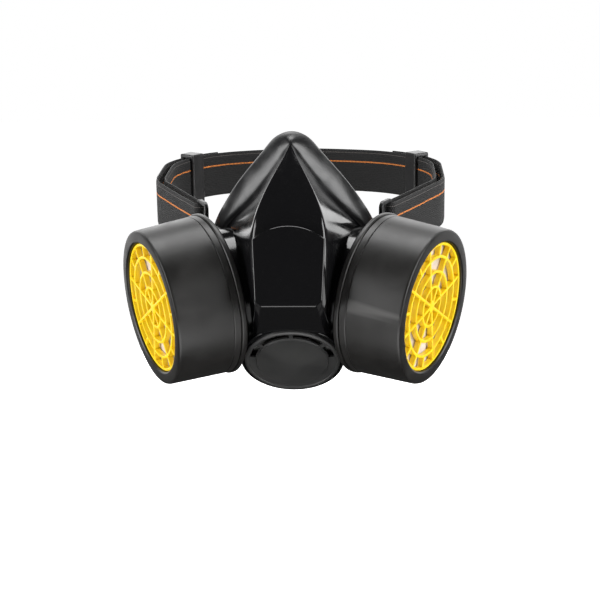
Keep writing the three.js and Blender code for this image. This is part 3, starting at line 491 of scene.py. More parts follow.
def light_the_studio():
    """A white backdrop and softboxes behind, beside, above and low in front; the middle stays dark."""
    bpy.context.scene.view_settings.view_transform = "Standard"
    world = bpy.data.worlds.new("studio")
    world.use_nodes = True
    tree = world.node_tree
    background = tree.nodes["Background"]
    background.inputs["Color"].default_value = (1, 1, 1, 1)
    seen = tree.nodes.new("ShaderNodeLightPath")
    strength = tree.nodes.new("ShaderNodeMapRange")
    strength.inputs["To Min"].default_value = FILL
    strength.inputs["To Max"].default_value = BACKDROP
    tree.links.new(seen.outputs["Is Camera Ray"], strength.inputs["Value"])
    tree.links.new(strength.outputs["Result"], background.inputs["Strength"])
    bpy.context.scene.world = world
    for softbox in SOFTBOXES:
        soft_light(*softbox)


def lay_floor():
    """A pale floor, bright as the backdrop, that throws no light back up on the mask."""
    bm = bmesh.new()
    bmesh.ops.create_grid(bm, x_segments=1, y_segments=1, size=FLOOR_REACH)
    floor = object_from(bm, "floor")
    floor.data.transform(Matrix.Translation((0, 0, FLOOR_LEVEL)))
    floor.data.materials.append(material("pale_floor", lambda n: n.set(
        Base_Color=n.mix(n.noise(3.0), (0.86, 0.86, 0.86), (0.9, 0.9, 0.9)), Roughness=0.7,
        Emission_Color=(1, 1, 1, 1), Emission_Strength=BACKDROP)))
    floor.visible_glossy = False
    floor.visible_diffuse = False


set_camera()
light_the_studio()
lay_floor()


# ---------------------------------------------------------------- filter cartridges

# Radii, and levels along the cartridge's axis from the rim face that the drum sits on, in mm.
BASE_RADIUS = 42.0
BASE_RIM = 3.2
BASE_PLATE = 2.5
UPSTAND_TOP = 4
UPSTAND_WALL = 1.5
DRUM_STEPS = 128         # round the drum and what shows beside it
CASE_REAR = 41.3
CASE_FRONT = 40.0
CASE_WALL = 1.8
CASE_LENGTH = 33.0
LIP = 2.8
WINDOW = 33.5
GRILLE_FACE = CASE_LENGTH - 1.5
GRILLE_FOOT = GRILLE_FACE - 3.0
PAD_TOP = GRILLE_FOOT - REST_GAP
PAD_THICKNESS = 3.0
FRONT_SCREEN_FOOT = 23.3
CARBON_TOP = 23.0
CARBON_FOOT = 4.2
REAR_SCREEN_FOOT = 2.3
FELT_TOP = 2.0
FELT_FOOT = -0.4
SCREEN_THICKNESS = 1.6
GASKET = 20.2
GASKET_TOP = -3.5
GASKET_FOOT = -5.0
SPIGOT_BORE = 12.0
SPIGOT = 14.6
SPIGOT_FOOT = -14.5
THREAD_PITCH = 4.0
THREAD_CREST = 16.0
THREAD_ROOT_HALF = 0.65
THREAD_CREST_HALF = 0.455
THREAD_START = SPIGOT_FOOT + 1.2
THREAD_TURNS = 1.75
THREAD_STEPS = 48        # in each turn


def thread(root, crest, start):
    """A helical ridge, swept by a spin that climbs one pitch a turn."""
    bm = bmesh.new()
    inward = 1 if crest > root else -1
    sunk = root - 0.5 * inward
    section = [(sunk, -THREAD_ROOT_HALF), (crest, -THREAD_CREST_HALF),
               (crest, THREAD_CREST_HALF), (sunk, THREAD_ROOT_HALF)]
    points = [bm.verts.new((r, 0, start + z)) for r, z in section]
    first = bm.faces.new(points)
    steps = round(THREAD_STEPS * THREAD_TURNS)
    bmesh.ops.spin(bm, geom=[first], cent=(0, 0, 0), axis=(0, 0, 1),
                   dvec=(0, 0, THREAD_PITCH * THREAD_TURNS / steps),
                   angle=2 * math.pi * THREAD_TURNS, steps=steps, use_merge=False)
    bmesh.ops.recalc_face_normals(bm, faces=bm.faces)
    return bm


def cartridge_case(name, at):
    """The drum: drafted wall, a fine groove near its rear, a rounded shoulder and a flat front lip."""
    inside_rear = CASE_REAR - CASE_WALL
    inside_front = CASE_FRONT - CASE_WALL
    groove_at, groove_deep, groove_wide = 3.4, 0.35, 0.6

    def wall(height):
        return CASE_REAR + (CASE_FRONT - CASE_REAR) * height / CASE_LENGTH

    bm = turned([
        (inside_rear, REST_GAP), (CASE_REAR, REST_GAP), (wall(groove_at), groove_at),
        (wall(groove_at) - groove_deep, groove_at + groove_wide / 2),
        (wall(groove_at), groove_at + groove_wide),
        (CASE_FRONT + 0.04, CASE_LENGTH - 1.5), (CASE_FRONT - 0.38, CASE_LENGTH - 0.38),
        (CASE_FRONT - 1.5, CASE_LENGTH), (WINDOW + 0.7, CASE_LENGTH), (WINDOW, CASE_LENGTH - 0.7),
        (WINDOW, CASE_LENGTH - LIP), (inside_front, CASE_LENGTH - LIP),
    ], rounding=0.22, steps=DRUM_STEPS)
    return place(bm, at, name)


def cartridge_base(name, at):
    """The threaded back: a rim with a rounded edge, an upstand inside the drum and the spigot."""
    upstand = CASE_REAR - CASE_WALL - REST_GAP
    plate = -BASE_RIM + BASE_PLATE
    body = object_from(turned([
        (SPIGOT_BORE, SPIGOT_FOOT), (SPIGOT, SPIGOT_FOOT), (SPIGOT, -BASE_RIM),
        (BASE_RADIUS - 1.0, -BASE_RIM), (BASE_RADIUS, -BASE_RIM + 1.0), (BASE_RADIUS, -0.5),
        (BASE_RADIUS - 0.5, 0), (upstand, 0), (upstand, UPSTAND_TOP),
        (upstand - UPSTAND_WALL, UPSTAND_TOP), (upstand - UPSTAND_WALL, plate), (SPIGOT_BORE, plate),
    ], rounding=0.25, steps=DRUM_STEPS), name)
    ribs = []
    for i in range(6):
        ribs.append(object_from(bar(BASE_RADIUS - SPIGOT - 8, 1.6, -BASE_RIM - 0.25, -BASE_RIM + 1,
                                    start=SPIGOT + 6.5, turn=60 * i, rounding=0), "rib"))
    ridge = object_from(thread(SPIGOT, THREAD_CREST, THREAD_START), "thread")
    combine(body, [ridge, *ribs], "UNION")
    return place(body, at)


GRILLE_RINGS = (0.31, 0.545, 0.78)     # shares of the grille's radius
SCREEN_RINGS = (0.3, 0.52, 0.74)       # shares of a screen's radius
RIB = 1.5


def cartridge_grille(name, at):
    """The yellow face: rim, three rings, eight long spokes and eight short ones outside the last ring."""
    face = WINDOW - REST_GAP
    inside_front = CASE_FRONT - CASE_WALL
    body = object_from(turned([
        (face - RIB, GRILLE_FOOT), (inside_front - REST_GAP, GRILLE_FOOT),
        (inside_front - REST_GAP, CASE_LENGTH - LIP - REST_GAP),
        (face, CASE_LENGTH - LIP - REST_GAP), (face, GRILLE_FACE), (face - RIB, GRILLE_FACE),
    ], rounding=0.3, steps=DRUM_STEPS), name)
    parts = [object_from(disc(3.1, GRILLE_FOOT, GRILLE_FACE, 0.4, 32), "hub")]
    for share in GRILLE_RINGS:
        middle = share * face
        parts.append(object_from(
            ring(middle - RIB / 2, middle + RIB / 2, GRILLE_FOOT, GRILLE_FACE, 0.35), "ring"))
    reach = face - RIB / 2

    def spoke(start, turn, spoke_name):
        parts.append(object_from(bar(reach - start, RIB, GRILLE_FOOT + 0.05, GRILLE_FACE - 0.04,
                                     start, turn, 0.35), spoke_name))

    for i in range(8):
        spoke(1.5, 22.5 + 45 * i, "spoke")
        spoke(GRILLE_RINGS[2] * face, 45 * i, "short_spoke")
    combine(body, parts, "UNION")
    return place(body, at)


def felt_pad(name, at, radius, low, high, seed):
    """A felt disc with a softly uneven face."""
    bm = disc(radius, low, high, 0.9)
    top = [f for f in bm.faces if f.normal.z > 0.9]
    bmesh.ops.subdivide_edges(bm, edges=list({e for f in top for e in f.edges}), cuts=5,
                              use_grid_fill=True)
    for v in bm.verts:
        if v.co.z > high - 0.2:
            x, y = v.co.x + seed, v.co.y - seed
            v.co.z -= 0.16 * (1 + math.sin(x * 0.55 + 1.3 * math.sin(y * 0.4)) * math.cos(y * 0.47))
    return place(bm, at, name)


def screen(name, at, radius, low):
    """A perforated retaining disc: rings and spokes like a wheel."""
    high = low + SCREEN_THICKNESS
    body = object_from(ring(radius - 2.5, radius, low, high, 0.3), name)
    parts = [object_from(disc(4, low, high, 0.3, 32), "hub")]
    for share in SCREEN_RINGS:
        middle = radius * share
        parts.append(object_from(ring(middle - 0.8, middle + 0.8, low, high, 0.2, 64), "ring"))

    def spoke(length, width, start, turn, spoke_name):
        parts.append(object_from(
            bar(length, width, low + 0.04, high - 0.04, start, turn, 0.2), spoke_name))

    for i in range(6):
        spoke(radius - 3.5, RIB, 2, 60 * i + 30, "spoke")
        spoke(radius * 0.46 - 1.5, 1.3, radius * SCREEN_RINGS[1], 60 * i, "short_spoke")
    combine(body, parts, "UNION")
    return place(body, at)


def build_cartridge(side_name, seed):
    """One cartridge's nine pieces, front to back, on its own axis."""
    at = port_place(side_name)
    body = f"cartridge_{side_name}"
    pack = CASE_FRONT - CASE_WALL - REST_GAP
    felt = CASE_REAR - CASE_WALL - REST_GAP - UPSTAND_WALL - REST_GAP

    def add(obj, finish, node, on=body):
        finish_piece(obj, finish, on, [f"{node}_{side_name}"])

    add(cartridge_case(f"drum_{side_name}", at), CASE_BLACK, "cartridge_case")
    add(cartridge_base(f"threaded_back_{side_name}", at), CASE_BLACK, "cartridge_base")
    add(cartridge_grille(f"grille_{side_name}", at), GRILLE_YELLOW, "cartridge_grille")
    add(felt_pad(f"prefilter_pad_{side_name}", at, pack, PAD_TOP - PAD_THICKNESS, PAD_TOP, seed),
        PAD_WHITE, "cartridge_prefilter")
    add(screen(f"front_screen_{side_name}", at, pack, FRONT_SCREEN_FOOT), SCREEN_GREY,
        "cartridge_front_screen")
    add(place(disc(pack, CARBON_FOOT, CARBON_TOP, 0.5), at, f"carbon_{side_name}"), CARBON,
        "cartridge_carbon_bed")
    add(screen(f"rear_screen_{side_name}", at, felt, REAR_SCREEN_FOOT), SCREEN_GREY,
        "cartridge_rear_screen")
    add(felt_pad(f"dust_felt_{side_name}", at, felt, FELT_FOOT, FELT_TOP, seed + 7), PAD_WHITE,
        "cartridge_dust_felt")
    gasket = ring(SPIGOT + RUNNING_GAP, GASKET, GASKET_FOOT, GASKET_TOP, 0.6)
    add(place(gasket, at, f"gasket_{side_name}"), FLAP_BROWN, "cartridge_gasket",
        on=f"gasket_{side_name}")


for number, (side_name, _) in enumerate(SIDES):
    build_cartridge(side_name, 11.0 * number)


# ---------------------------------------------------------------- ports and valves

# Radii, and levels along a port's axis from the same face, in mm.
COLLAR_BORE = 16.4
COLLAR = 18.6
COLLAR_FLANGE = 20.9
COLLAR_TOP = -5.3
COLLAR_UNDER = COLLAR_TOP - 1.7
COLLAR_FOOT = -15.5
TUBE_BORE = COLLAR + REST_GAP
TUBE = 22.1
TUBE_FOOT = -16.5
INHALE_OPENING = 12.6
INHALE_SEAT_TOP = -16.8
INHALE_SEAT_FOOT = -18.8
INHALE_FLAP = 14.2
INHALE_FLAP_TOP = -19.1
INHALE_FLAP_FOOT = -19.9
FLAP_TRAVEL = 2.0
FLAP_THICKNESS = 0.8
PIN = 1.6
PIN_HEAD = 2.8

# The same for the exhalation valve, with levels from its housing's front.
OUTLET = 16
EXHALE_OPENING = 13.9
EXHALE_SEAT = 20.0
EXHALE_SEAT_TOP = -5.1
EXHALE_SEAT_FOOT = -7.1
EXHALE_FLAP = 15.5
EXHALE_FLAP_TOP = -4.0
EXHALE_FLAP_FOOT = -4.8
COVER_RADIUS = 24.6
COVER_DISC = 18.2
COVER_WALL = 1.6
COVER_CROWN = 1.2
COVER_FOOT = -5.0


def port_collar(name, at):
    """The flanged collar that a cartridge screws into, its thread half a pitch from the spigot's."""
    body = object_from(turned([
        (COLLAR_BORE, COLLAR_FOOT), (COLLAR, COLLAR_FOOT), (COLLAR, COLLAR_UNDER),
        (COLLAR_FLANGE, COLLAR_UNDER), (COLLAR_FLANGE, COLLAR_TOP), (COLLAR_BORE, COLLAR_TOP),
    ], 0.25), name)
    ridge = thread(COLLAR_BORE, COLLAR_BORE - 1.4, THREAD_START - THREAD_PITCH / 2)
    combine(body, [object_from(ridge, "thread")], "UNION")
    return place(body, at)


def valve_seat(name, at, radius, opening, low, high, pin_side):
    """A ring, six spokes, and the headed pin that holds the flap's middle."""
    body = object_from(ring(opening, radius, low, high, 0.3), name)
    face = high if pin_side > 0 else low
    reach = REST_GAP + FLAP_THICKNESS + FLAP_TRAVEL + RUNNING_GAP
    pin = sorted((face - pin_side * 1.5, face + pin_side * reach))
    head = sorted((face + pin_side * reach, face + pin_side * (reach + 0.8)))
    parts = [
        object_from(disc(4, low, high, 0.3, 32), "boss"),
        object_from(disc(PIN, *pin, 0, 24), "pin"),
        object_from(disc(PIN_HEAD, head[0] - 0.05, head[1], 0.25, 24), "pin_head"),
    ]
    for i in range(6):
        parts.append(object_from(
            bar(opening, 2.0, low + 0.04, high - 0.04, 1, 60 * i, 0.25), "spoke"))
    combine(body, parts, "UNION")
    return place(body, at)


def flap(name, at, radius, low, high):
    """A thin rubber disc with a hole for the seat's pin."""
    return place(ring(2.0, radius, low, high, 0.2), at, name)


for side_name, _ in SIDES:
    at = port_place(side_name)
    finish_piece(port_collar(f"threaded_collar_{side_name}", at), CASE_BLACK, "mask",
                 [f"port_collar_{side_name}"])
    seat = valve_seat(f"inhale_seat_{side_name}", at, TUBE, INHALE_OPENING,
                      INHALE_SEAT_FOOT, INHALE_SEAT_TOP, -1)
    finish_piece(seat, SCREEN_GREY, "mask", [f"inhale_valve_seat_{side_name}"])
    disc_flap = flap(f"inhale_flap_disc_{side_name}", at, INHALE_FLAP, INHALE_FLAP_FOOT,
                     INHALE_FLAP_TOP)
    finish_piece(disc_flap, FLAP_BROWN, f"inhale_flap_{side_name}",
                 [f"inhale_valve_flap_{side_name}"])

exhale_at = exhale_place()
seat = valve_seat("exhale_seat", exhale_at, EXHALE_SEAT, EXHALE_OPENING,
                  EXHALE_SEAT_FOOT, EXHALE_SEAT_TOP, 1)
finish_piece(seat, SCREEN_GREY, "mask", ["exhale_valve_seat"])
disc_flap = flap("exhale_flap_disc", exhale_at, EXHALE_FLAP, EXHALE_FLAP_FOOT, EXHALE_FLAP_TOP)
finish_piece(disc_flap, FLAP_BROWN, "exhale_flap", ["exhale_valve_flap"])


def exhale_cover(name, at):
    """The cover: a skirt, a flat raised disc, and four arc slots above it with ribs between."""
    crown, radius = COVER_CROWN, COVER_RADIUS
    under = crown - COVER_WALL
    body = object_from(turned([
        (0, under), (radius - COVER_WALL, under), (radius - COVER_WALL, COVER_FOOT),
        (radius, COVER_FOOT), (radius, crown - 1.4), (radius - 0.45, crown - 0.45),
        (radius - 1.4, crown), (22.6, crown), (22.3, crown - 0.5), (18.5, crown - 0.5),
        (COVER_DISC, crown), (0, crown),
    ], rounding=0.15, steps=DRUM_STEPS), name)
    cutters = []
    inner, outer = 18.9, 21.9
    for start, end in ((10, 36), (42, 87), (93, 138), (144, 170)):
        bm = bmesh.new()
        corners = [bm.verts.new(p) for p in ((inner, 0, under - 1), (outer, 0, under - 1),
                                             (outer, 0, crown + 1), (inner, 0, crown + 1))]
        first = bm.faces.new(corners)
        bmesh.ops.spin(bm, geom=[first], cent=(0, 0, 0), axis=(0, 0, 1),
                       angle=math.radians(end - start), steps=max(6, (end - start) // 3),
                       use_merge=False)
        bmesh.ops.rotate(bm, cent=(0, 0, 0), matrix=Matrix.Rotation(math.radians(start), 3, "Z"),
                         verts=bm.verts)
        cutters.append(object_from(bm, "slot"))
    combine(body, cutters, "DIFFERENCE")
    return place(body, at)


finish_piece(exhale_cover("exhale_cover_cap", exhale_at), VALVE_BLACK, "exhale_cover",
             ["exhale_valve_cover"])


# ---------------------------------------------------------------- front shell

SHELL_WALL = 2.4
SEAL_MIDDLE_Z = 12.0

# Level sections of the nose and cheek cup, from the nose down, in mm:
# height, then the rim's half width and depth, the crease's, and the ridge's depth.
CUP_LEVELS = (
    (76.5, 0.9, -34.0, 0.5, -35.2, -35.6),
    (70.5, 4.4, -32.4, 3.4, -40.2, -41.2),
    (61.0, 11.2, -28.2, 9.0, -48.0, -50.0),
    (50.5, 18.2, -21.8, 14.2, -54.2, -57.4),
    (41.0, 28.4, -15.2, 17.2, -59.4, -62.2),
    (32.0, 37.0, -9.0, 18.3, -62.0, -65.0),
    (18.0, 42.8, -0.3, 18.5, -62.0, -64.6),
    (5.0, 44.0, 4.0, 18.6, -58.8, -60.4),
    (-8.0, 42.5, 4.0, 18.8, -51.4, -53.0),
    (-22.0, 37.0, -2.0, 19.0, -40.0, -41.6),
    (-34.0, 29.5, -9.0, 18.0, -28.4, -30.0),
    (-43.0, 19.0, -13.0, 12.0, -19.0, -20.5),
    (-49.0, 7.0, -15.0, 5.0, -16.0, -16.5),
)


def cup(inset, back_reach, name, trim_top=0.0):
    """The faceted nose and cheek cup as a closed solid: level loops skinned, creased and smoothed."""
    bm = bmesh.new()
    loops = []
    crease_layer = bm.edges.layers.float.new("crease_edge")
    for height, rim, rim_y, crease, crease_y, ridge_y in CUP_LEVELS:
        z = height
        if height > 70 and inset:
            z = height - trim_top
        if height < -45 and inset:
            z = height + inset
        rim_in = max(rim - inset, 0.4)
        crease_in = min(max(crease - inset, 0.25), rim_in * 0.97)
        front = inset if rim > 2 else inset * 0.6
        half = [
            (rim_in, rim_y + back_reach), (rim_in, rim_y + (0.01 if back_reach else 0.0)),
            (rim_in + (crease_in - rim_in) / 3, rim_y + (crease_y + front - rim_y) / 3),
            (rim_in + (crease_in - rim_in) * 2 / 3, rim_y + (crease_y + front - rim_y) * 2 / 3),
            (crease_in, crease_y + front),
            (crease_in * 0.5, crease_y + (ridge_y - crease_y) * 0.78 + front),
        ]
        if not back_reach:
            half = half[1:]
        points = [bm.verts.new((x, y, z)) for x, y in half]
        points.append(bm.verts.new((0, ridge_y + front, z)))
        points += [bm.verts.new((-x, y, z)) for x, y in reversed(half)]
        loops.append(points)
        for a, b in zip(points, points[1:] + points[:1]):
            bm.edges.new((a, b))
    size = len(loops[0])
    skin(bm, loops)
    crease_at = 4 if back_reach else 3
    rim_at = [0, 1] if back_reach else [0]
    sharp = set(rim_at + [size - 1 - i for i in rim_at] + [crease_at, size - 1 - crease_at])
    for upper, lower in zip(loops, loops[1:]):
        for i in sharp:
            edge = bm.edges.get((upper[i], lower[i]))
            edge[crease_layer] = 0.93 if i in (crease_at, size - 1 - crease_at) else 1.0
    for cap in (loops[0], loops[-1]):
        for a, b in zip(cap, cap[1:] + cap[:1]):
            bm.edges.get((a, b))[crease_layer] = 1.0
    bmesh.ops.recalc_face_normals(bm, faces=bm.faces)
    obj = object_from(bm, name)
    smooth = obj.modifiers.new("smooth", "SUBSURF")
    smooth.levels = smooth.render_levels = 3
    apply_modifiers(obj)
    return obj


def slab(depth, height, slope_degrees, name):
    """Everything behind a plane across the face: a large block turned about X."""
    size = 200.0
    bm = bmesh.new()
    bmesh.ops.create_cube(bm, size=size)
    obj = object_from(bm, name)
    turn = Matrix.Rotation(math.radians(slope_degrees), 4, "X")
    return place(obj, Matrix.Translation((0, depth, height)) @ turn @ Matrix.Translation((0, size / 2, 0)))


BOX_HALF = 17.8
BOX_FOOT_HALF = 16.3
BOX_SHOULDER = 32.3
BOX_ARCH = 6.7
BOX_FOOT = 0.5
BOX_FRONT_TOP = -66.4
BOX_FRONT_FOOT = -72.0
BOX_REAR = -30.0
FLARE_INNER = 15.0
FLARE_HALF = 20.0
FLARE_DROP = 16.5
CHAMFER = 3.0            # facets beside the slope
HOUSING = 26.5
HOUSING_DEPTH = 27.0
EXHALE_SLOPE = 43.0
EXHALE_Y = -35.0
EXHALE_Z = -32.7


def centre_box(inset, name, rounding=0.0):
    """The box over the mouth: an arched outline pushed forward, then cut by its face and its slope."""
    rise, half = BOX_ARCH, BOX_HALF
    radius = (half * half + rise * rise) / (2 * rise)
    spread = math.asin((half - inset) / (radius - inset))
    middle = BOX_SHOULDER + rise - radius
    arch_steps = 28
    top = []
    for i in range(arch_steps + 1):
        angle = spread - 2 * spread * i / arch_steps
        top.append(((radius - inset) * math.sin(-angle), middle + (radius - inset) * math.cos(angle)))
    flare = BOX_FOOT - FLARE_DROP
    side = [
        (BOX_FOOT_HALF - inset, BOX_FOOT + inset), (FLARE_HALF - inset, flare + inset),
        (FLARE_HALF - 4 - inset, flare - 10 + inset),
    ]
    outline = top + side + [(-x, z) for x, z in reversed(side)]
    bm = bmesh.new()
    face = bm.faces.new([bm.verts.new((x, BOX_REAR, z)) for x, z in outline])
    pushed = bmesh.ops.extrude_face_region(bm, geom=[face], use_keep_orig=True)
    bmesh.ops.translate(bm, vec=(0, BOX_FRONT_FOOT - 10 - BOX_REAR, 0),
                        verts=[v for v in pushed["geom"] if isinstance(v, bmesh.types.BMVert)])
    bmesh.ops.recalc_face_normals(bm, faces=bm.faces)
    obj = object_from(bm, name)
    lean = math.degrees(math.atan2(BOX_FRONT_TOP - BOX_FRONT_FOOT, BOX_SHOULDER - BOX_FOOT))
    slope_y = EXHALE_Y - HOUSING * math.sin(math.radians(EXHALE_SLOPE))
    slope_z = EXHALE_Z + HOUSING * math.cos(math.radians(EXHALE_SLOPE))
    slope = math.degrees(math.atan2(slope_y - BOX_FRONT_FOOT, BOX_FOOT - slope_z))
    combine(obj, [slab(BOX_FRONT_FOOT + inset, BOX_FOOT, -lean, "front"),
                  slab(BOX_FRONT_FOOT + inset, BOX_FOOT + inset * 0.6, slope, "slope")], "INTERSECT")
    if rounding:
        bm = bmesh.new()
        bm.from_mesh(obj.data)
        bmesh.ops.dissolve_limit(bm, angle_limit=math.radians(1.0), verts=bm.verts, edges=bm.edges)
        flared = [e for e in corner_edges(bm, 20)
                  if abs(e.verts[0].co.x + e.verts[1].co.x) > 2 * FLARE_INNER
                  and min(v.co.y for v in e.verts) < BOX_FRONT_FOOT + 1
                  and min(v.co.z for v in e.verts) < BOX_FOOT - 5]
        round_edges(bm, flared, CHAMFER, 1)
        front = [e for e in corner_edges(bm, 20) if min(v.co.y for v in e.verts) < -45]
        round_edges(bm, front, rounding, 3)
        bm.to_mesh(obj.data)
        bm.free()
    return obj


HORN = 32.0
HORN_FACE = -3.6
HORN_PLATE = 2.8
HORN_DEPTH = 24.0
HORN_REAR = -6.0


def horn(at, side_name):
    """The round shoulder a cartridge seats on: a plate, and its front carried down to the cup."""
    to_mm = TO_MM @ at
    plate_foot = HORN_FACE - HORN_PLATE
    plate = place(disc(HORN, plate_foot, HORN_FACE, 0.8), to_mm, f"horn_{side_name}")
    body = place(disc(HORN, plate_foot - HORN_DEPTH, HORN_FACE, 0.8), to_mm, "horn_body")
    combine(body, [slab(HORN_REAR, 0, 180, "ahead")], "INTERSECT")
    return combine(plate, [body], "UNION")


def horn_hollow(at):
    """The room inside a shoulder, round the port's tube."""
    to_mm = TO_MM @ at
    plate_foot = HORN_FACE - HORN_PLATE
    hollow = place(ring(TUBE - 0.5, HORN - SHELL_WALL, plate_foot - HORN_DEPTH - 4, plate_foot, 0),
                   to_mm, "hollow")
    return combine(hollow, [slab(HORN_REAR - SHELL_WALL, 0, 180, "ahead")], "INTERSECT")


LOOP_X = 45.6
LOOP_Y = -7.8
LOOP_BAR = 2.0
LUG_HEIGHT = 12.0
LUG_WALL = 1.6
LUG_ROOT = (-11, -10.2)                # where the tab runs to, from the bar


def strap_lug(side):
    """The tab beside the cheek, rounded over the bar of the strap loop."""
    bore = LOOP_BAR / 2 * math.sqrt(2) + REST_GAP
    low, high = -LUG_HEIGHT * 0.65, LUG_HEIGHT * 0.35
    knuckle = object_from(disc(bore + LUG_WALL, low, high, 0.5, 32), "lug")
    reach = math.hypot(*LUG_ROOT) + LUG_WALL
    heading = math.degrees(math.atan2(LUG_ROOT[1], LUG_ROOT[0]))
    web = object_from(bar(reach, 2 * LUG_WALL, low, high, 0, heading, 0.5), "web")
    combine(knuckle, [web], "UNION")
    hole = object_from(disc(bore, -LUG_HEIGHT, LUG_HEIGHT, 0, 32), "hole")
    combine(knuckle, [hole], "DIFFERENCE")
    knuckle.data.transform(Matrix.Translation((LOOP_X, LOOP_Y, 0)))
    if side < 0:
        knuckle.data.transform(Matrix.Scale(-1, 4, (1, 0, 0)))
        knuckle.data.flip_normals()
    return place(knuckle, TO_MM @ strap_place())


def seal_envelope():
    """The room behind the rim that the rubber seal takes."""
    bm = bmesh.new()
    loops = []
    for height, rim, rim_y, *_ in ((95.0, 4.0, -34.0), *CUP_LEVELS, (-62.0, 4.0, -15.0)):
        half = [(rim + 12, 60), (rim + 12, rim_y + 6), (rim + 0.8, rim_y)]
        points = [bm.verts.new((x, y, height)) for x, y in half]
        points += [bm.verts.new((-x, y, height)) for x, y in reversed(half)]
        loops.append(points)
    skin(bm, loops)
    return object_from(bm, "behind_rim")


def front_shell():
    """The shell: cup, box, valve housing and shoulders, hollowed, then given its tubes and seats."""
    ports = {name: port_place(name) for name, _ in SIDES}
    exhale_mm = TO_MM @ exhale_place()
    body = cup(0, 0, "moulded_shell")
    housing = place(disc(HOUSING, -HOUSING_DEPTH, 0, 0.9), exhale_mm, "housing")
    outer = [centre_box(0, "box", 0.7), housing, *(horn(at, name) for name, at in ports.items())]
    combine(body, outer, "UNION")
    inside = cup(SHELL_WALL, 40, "inside", 3 * SHELL_WALL)
    hollows = [centre_box(SHELL_WALL, "inner_box"), *(horn_hollow(at) for at in ports.values())]
    combine(inside, hollows, "UNION")
    combine(body, [inside], "DIFFERENCE")
    tubes = [place(ring(TUBE_BORE, TUBE, TUBE_FOOT, HORN_FACE - HORN_PLATE + 1, 0), TO_MM @ at, "tube")
             for at in ports.values()]
    tubes.append(place(ring(OUTLET, EXHALE_SEAT + SHELL_WALL, EXHALE_SEAT_FOOT - SHELL_WALL,
                            COVER_FOOT, 0), exhale_mm, "valve_tube"))
    tubes.append(place(ring(OUTLET, HOUSING - 0.5, COVER_FOOT - REST_GAP - SHELL_WALL,
                            COVER_FOOT, 0), exhale_mm, "cover_floor"))
    combine(body, [*tubes, *(strap_lug(side) for _, side in SIDES)], "UNION")
    cuts = []

    def cut_room(radius, low, high, at_mm, name):
        cuts.append(place(disc(radius, low, high, 0), at_mm, name))

    for at in ports.values():
        port = TO_MM @ at
        cut_room(TUBE_BORE, TUBE_FOOT - 6, 1, port, "bore")
        cut_room(TUBE + REST_GAP, INHALE_SEAT_FOOT - REST_GAP, TUBE_FOOT, port, "seat_room")
        cut_room(COLLAR_FLANGE + REST_GAP, COLLAR_UNDER - REST_GAP, 1, port, "flange_room")
        cut_room(BASE_RADIUS + 1, HORN_FACE, CASE_LENGTH, port, "cartridge_room")
    cut_room(COVER_RADIUS + RUNNING_GAP, COVER_FOOT - REST_GAP, 12, exhale_mm, "cover_room")
    cut_room(EXHALE_SEAT + REST_GAP, EXHALE_SEAT_FOOT - REST_GAP, 1, exhale_mm, "seat_room")
    cut_room(OUTLET, -HOUSING_DEPTH, 0, exhale_mm, "outlet")
    for room in [*cuts, seal_envelope()]:
        combine(body, [room], "DIFFERENCE")
    return place(body, IN_MM)


finish_piece(front_shell(), GLOSS_SHELL, "mask", ["front_shell"], 38)


# ---------------------------------------------------------------- face seal

# Down the right side, from the nose to the chin: the seal's outer edge, and the height on
# the shell's rim that it springs from.
SEAL_STATIONS = (
    ((0, -22, 83.5), 76.5), ((8.5, -21.5, 80.5), 72.5), ((16, -19, 72), 64), ((27, -13, 59), 52),
    ((35.5, -5, 47), 42), ((42.3, 3, 34.5), 31), ((46, 9, 20), 18.5), ((47.4, 12.5, 5), 5),
    ((46, 12.5, -8), -7), ((41, 8, -22), -20.5), ((32, 2, -35), -32.5), ((20, -3, -44.5), -42),
    ((8, -5.5, -49.5), -47.5), ((0, -6, -50.3), -49),
)
RIM_PLACES = tuple((z, half, y) for z, half, y, *_ in CUP_LEVELS)
SEAL_WALL = 2.6
SEAL_BEAD = 1.3


def rim_at(height):
    """The rim's half width and depth at a height, between the levels that give them."""
    levels = sorted(RIM_PLACES)
    height = min(max(height, levels[0][0]), levels[-1][0])
    for (z0, w0, y0), (z1, w1, y1) in zip(levels, levels[1:]):
        if z0 <= height <= z1:
            s = (height - z0) / (z1 - z0)
            return w0 + (w1 - w0) * s, y0 + (y1 - y0) * s
    return levels[-1][1:]


def seal_section(edge, rim, outward, reach):
    """One section of the seal, from the rim out over its rolled band to the inturned face flange."""
    def off(point, out, back):
        return point + outward * out + Vector((0, back, 0))

    width = (edge - rim).length
    crown = 0.03 * width
    return [
        off(rim, 0.5, 0.4),
        off(rim.lerp(edge, 0.10), 0.7, -0.7),
        off(rim.lerp(edge, 0.30), 0.7 + crown, -1.3 - crown * 0.6),
        off(rim.lerp(edge, 0.55), 0.5 + crown, -1.7 - crown),
        off(rim.lerp(edge, 0.80), 0.1 + crown * 0.6, -1.9 - crown * 0.5),
        off(edge, -0.4, -1.8),
        off(edge, 0.1, -0.6),
        off(edge, -0.5, 0.9),
        off(edge, -SEAL_BEAD - 0.6, 1.35),
        off(edge, -reach * 0.11, 0.9),
        off(edge, -reach * 0.2, 0.2),
        off(edge, -reach * 0.205, -0.6),
        off(edge, -reach * 0.19, -1.0),
        off(edge, -SEAL_WALL - 2.2, -1.0),
        off(edge.lerp(rim, 0.35), -SEAL_WALL - 0.4, -0.4),
        off(rim, -SEAL_WALL, 0.4),
    ]


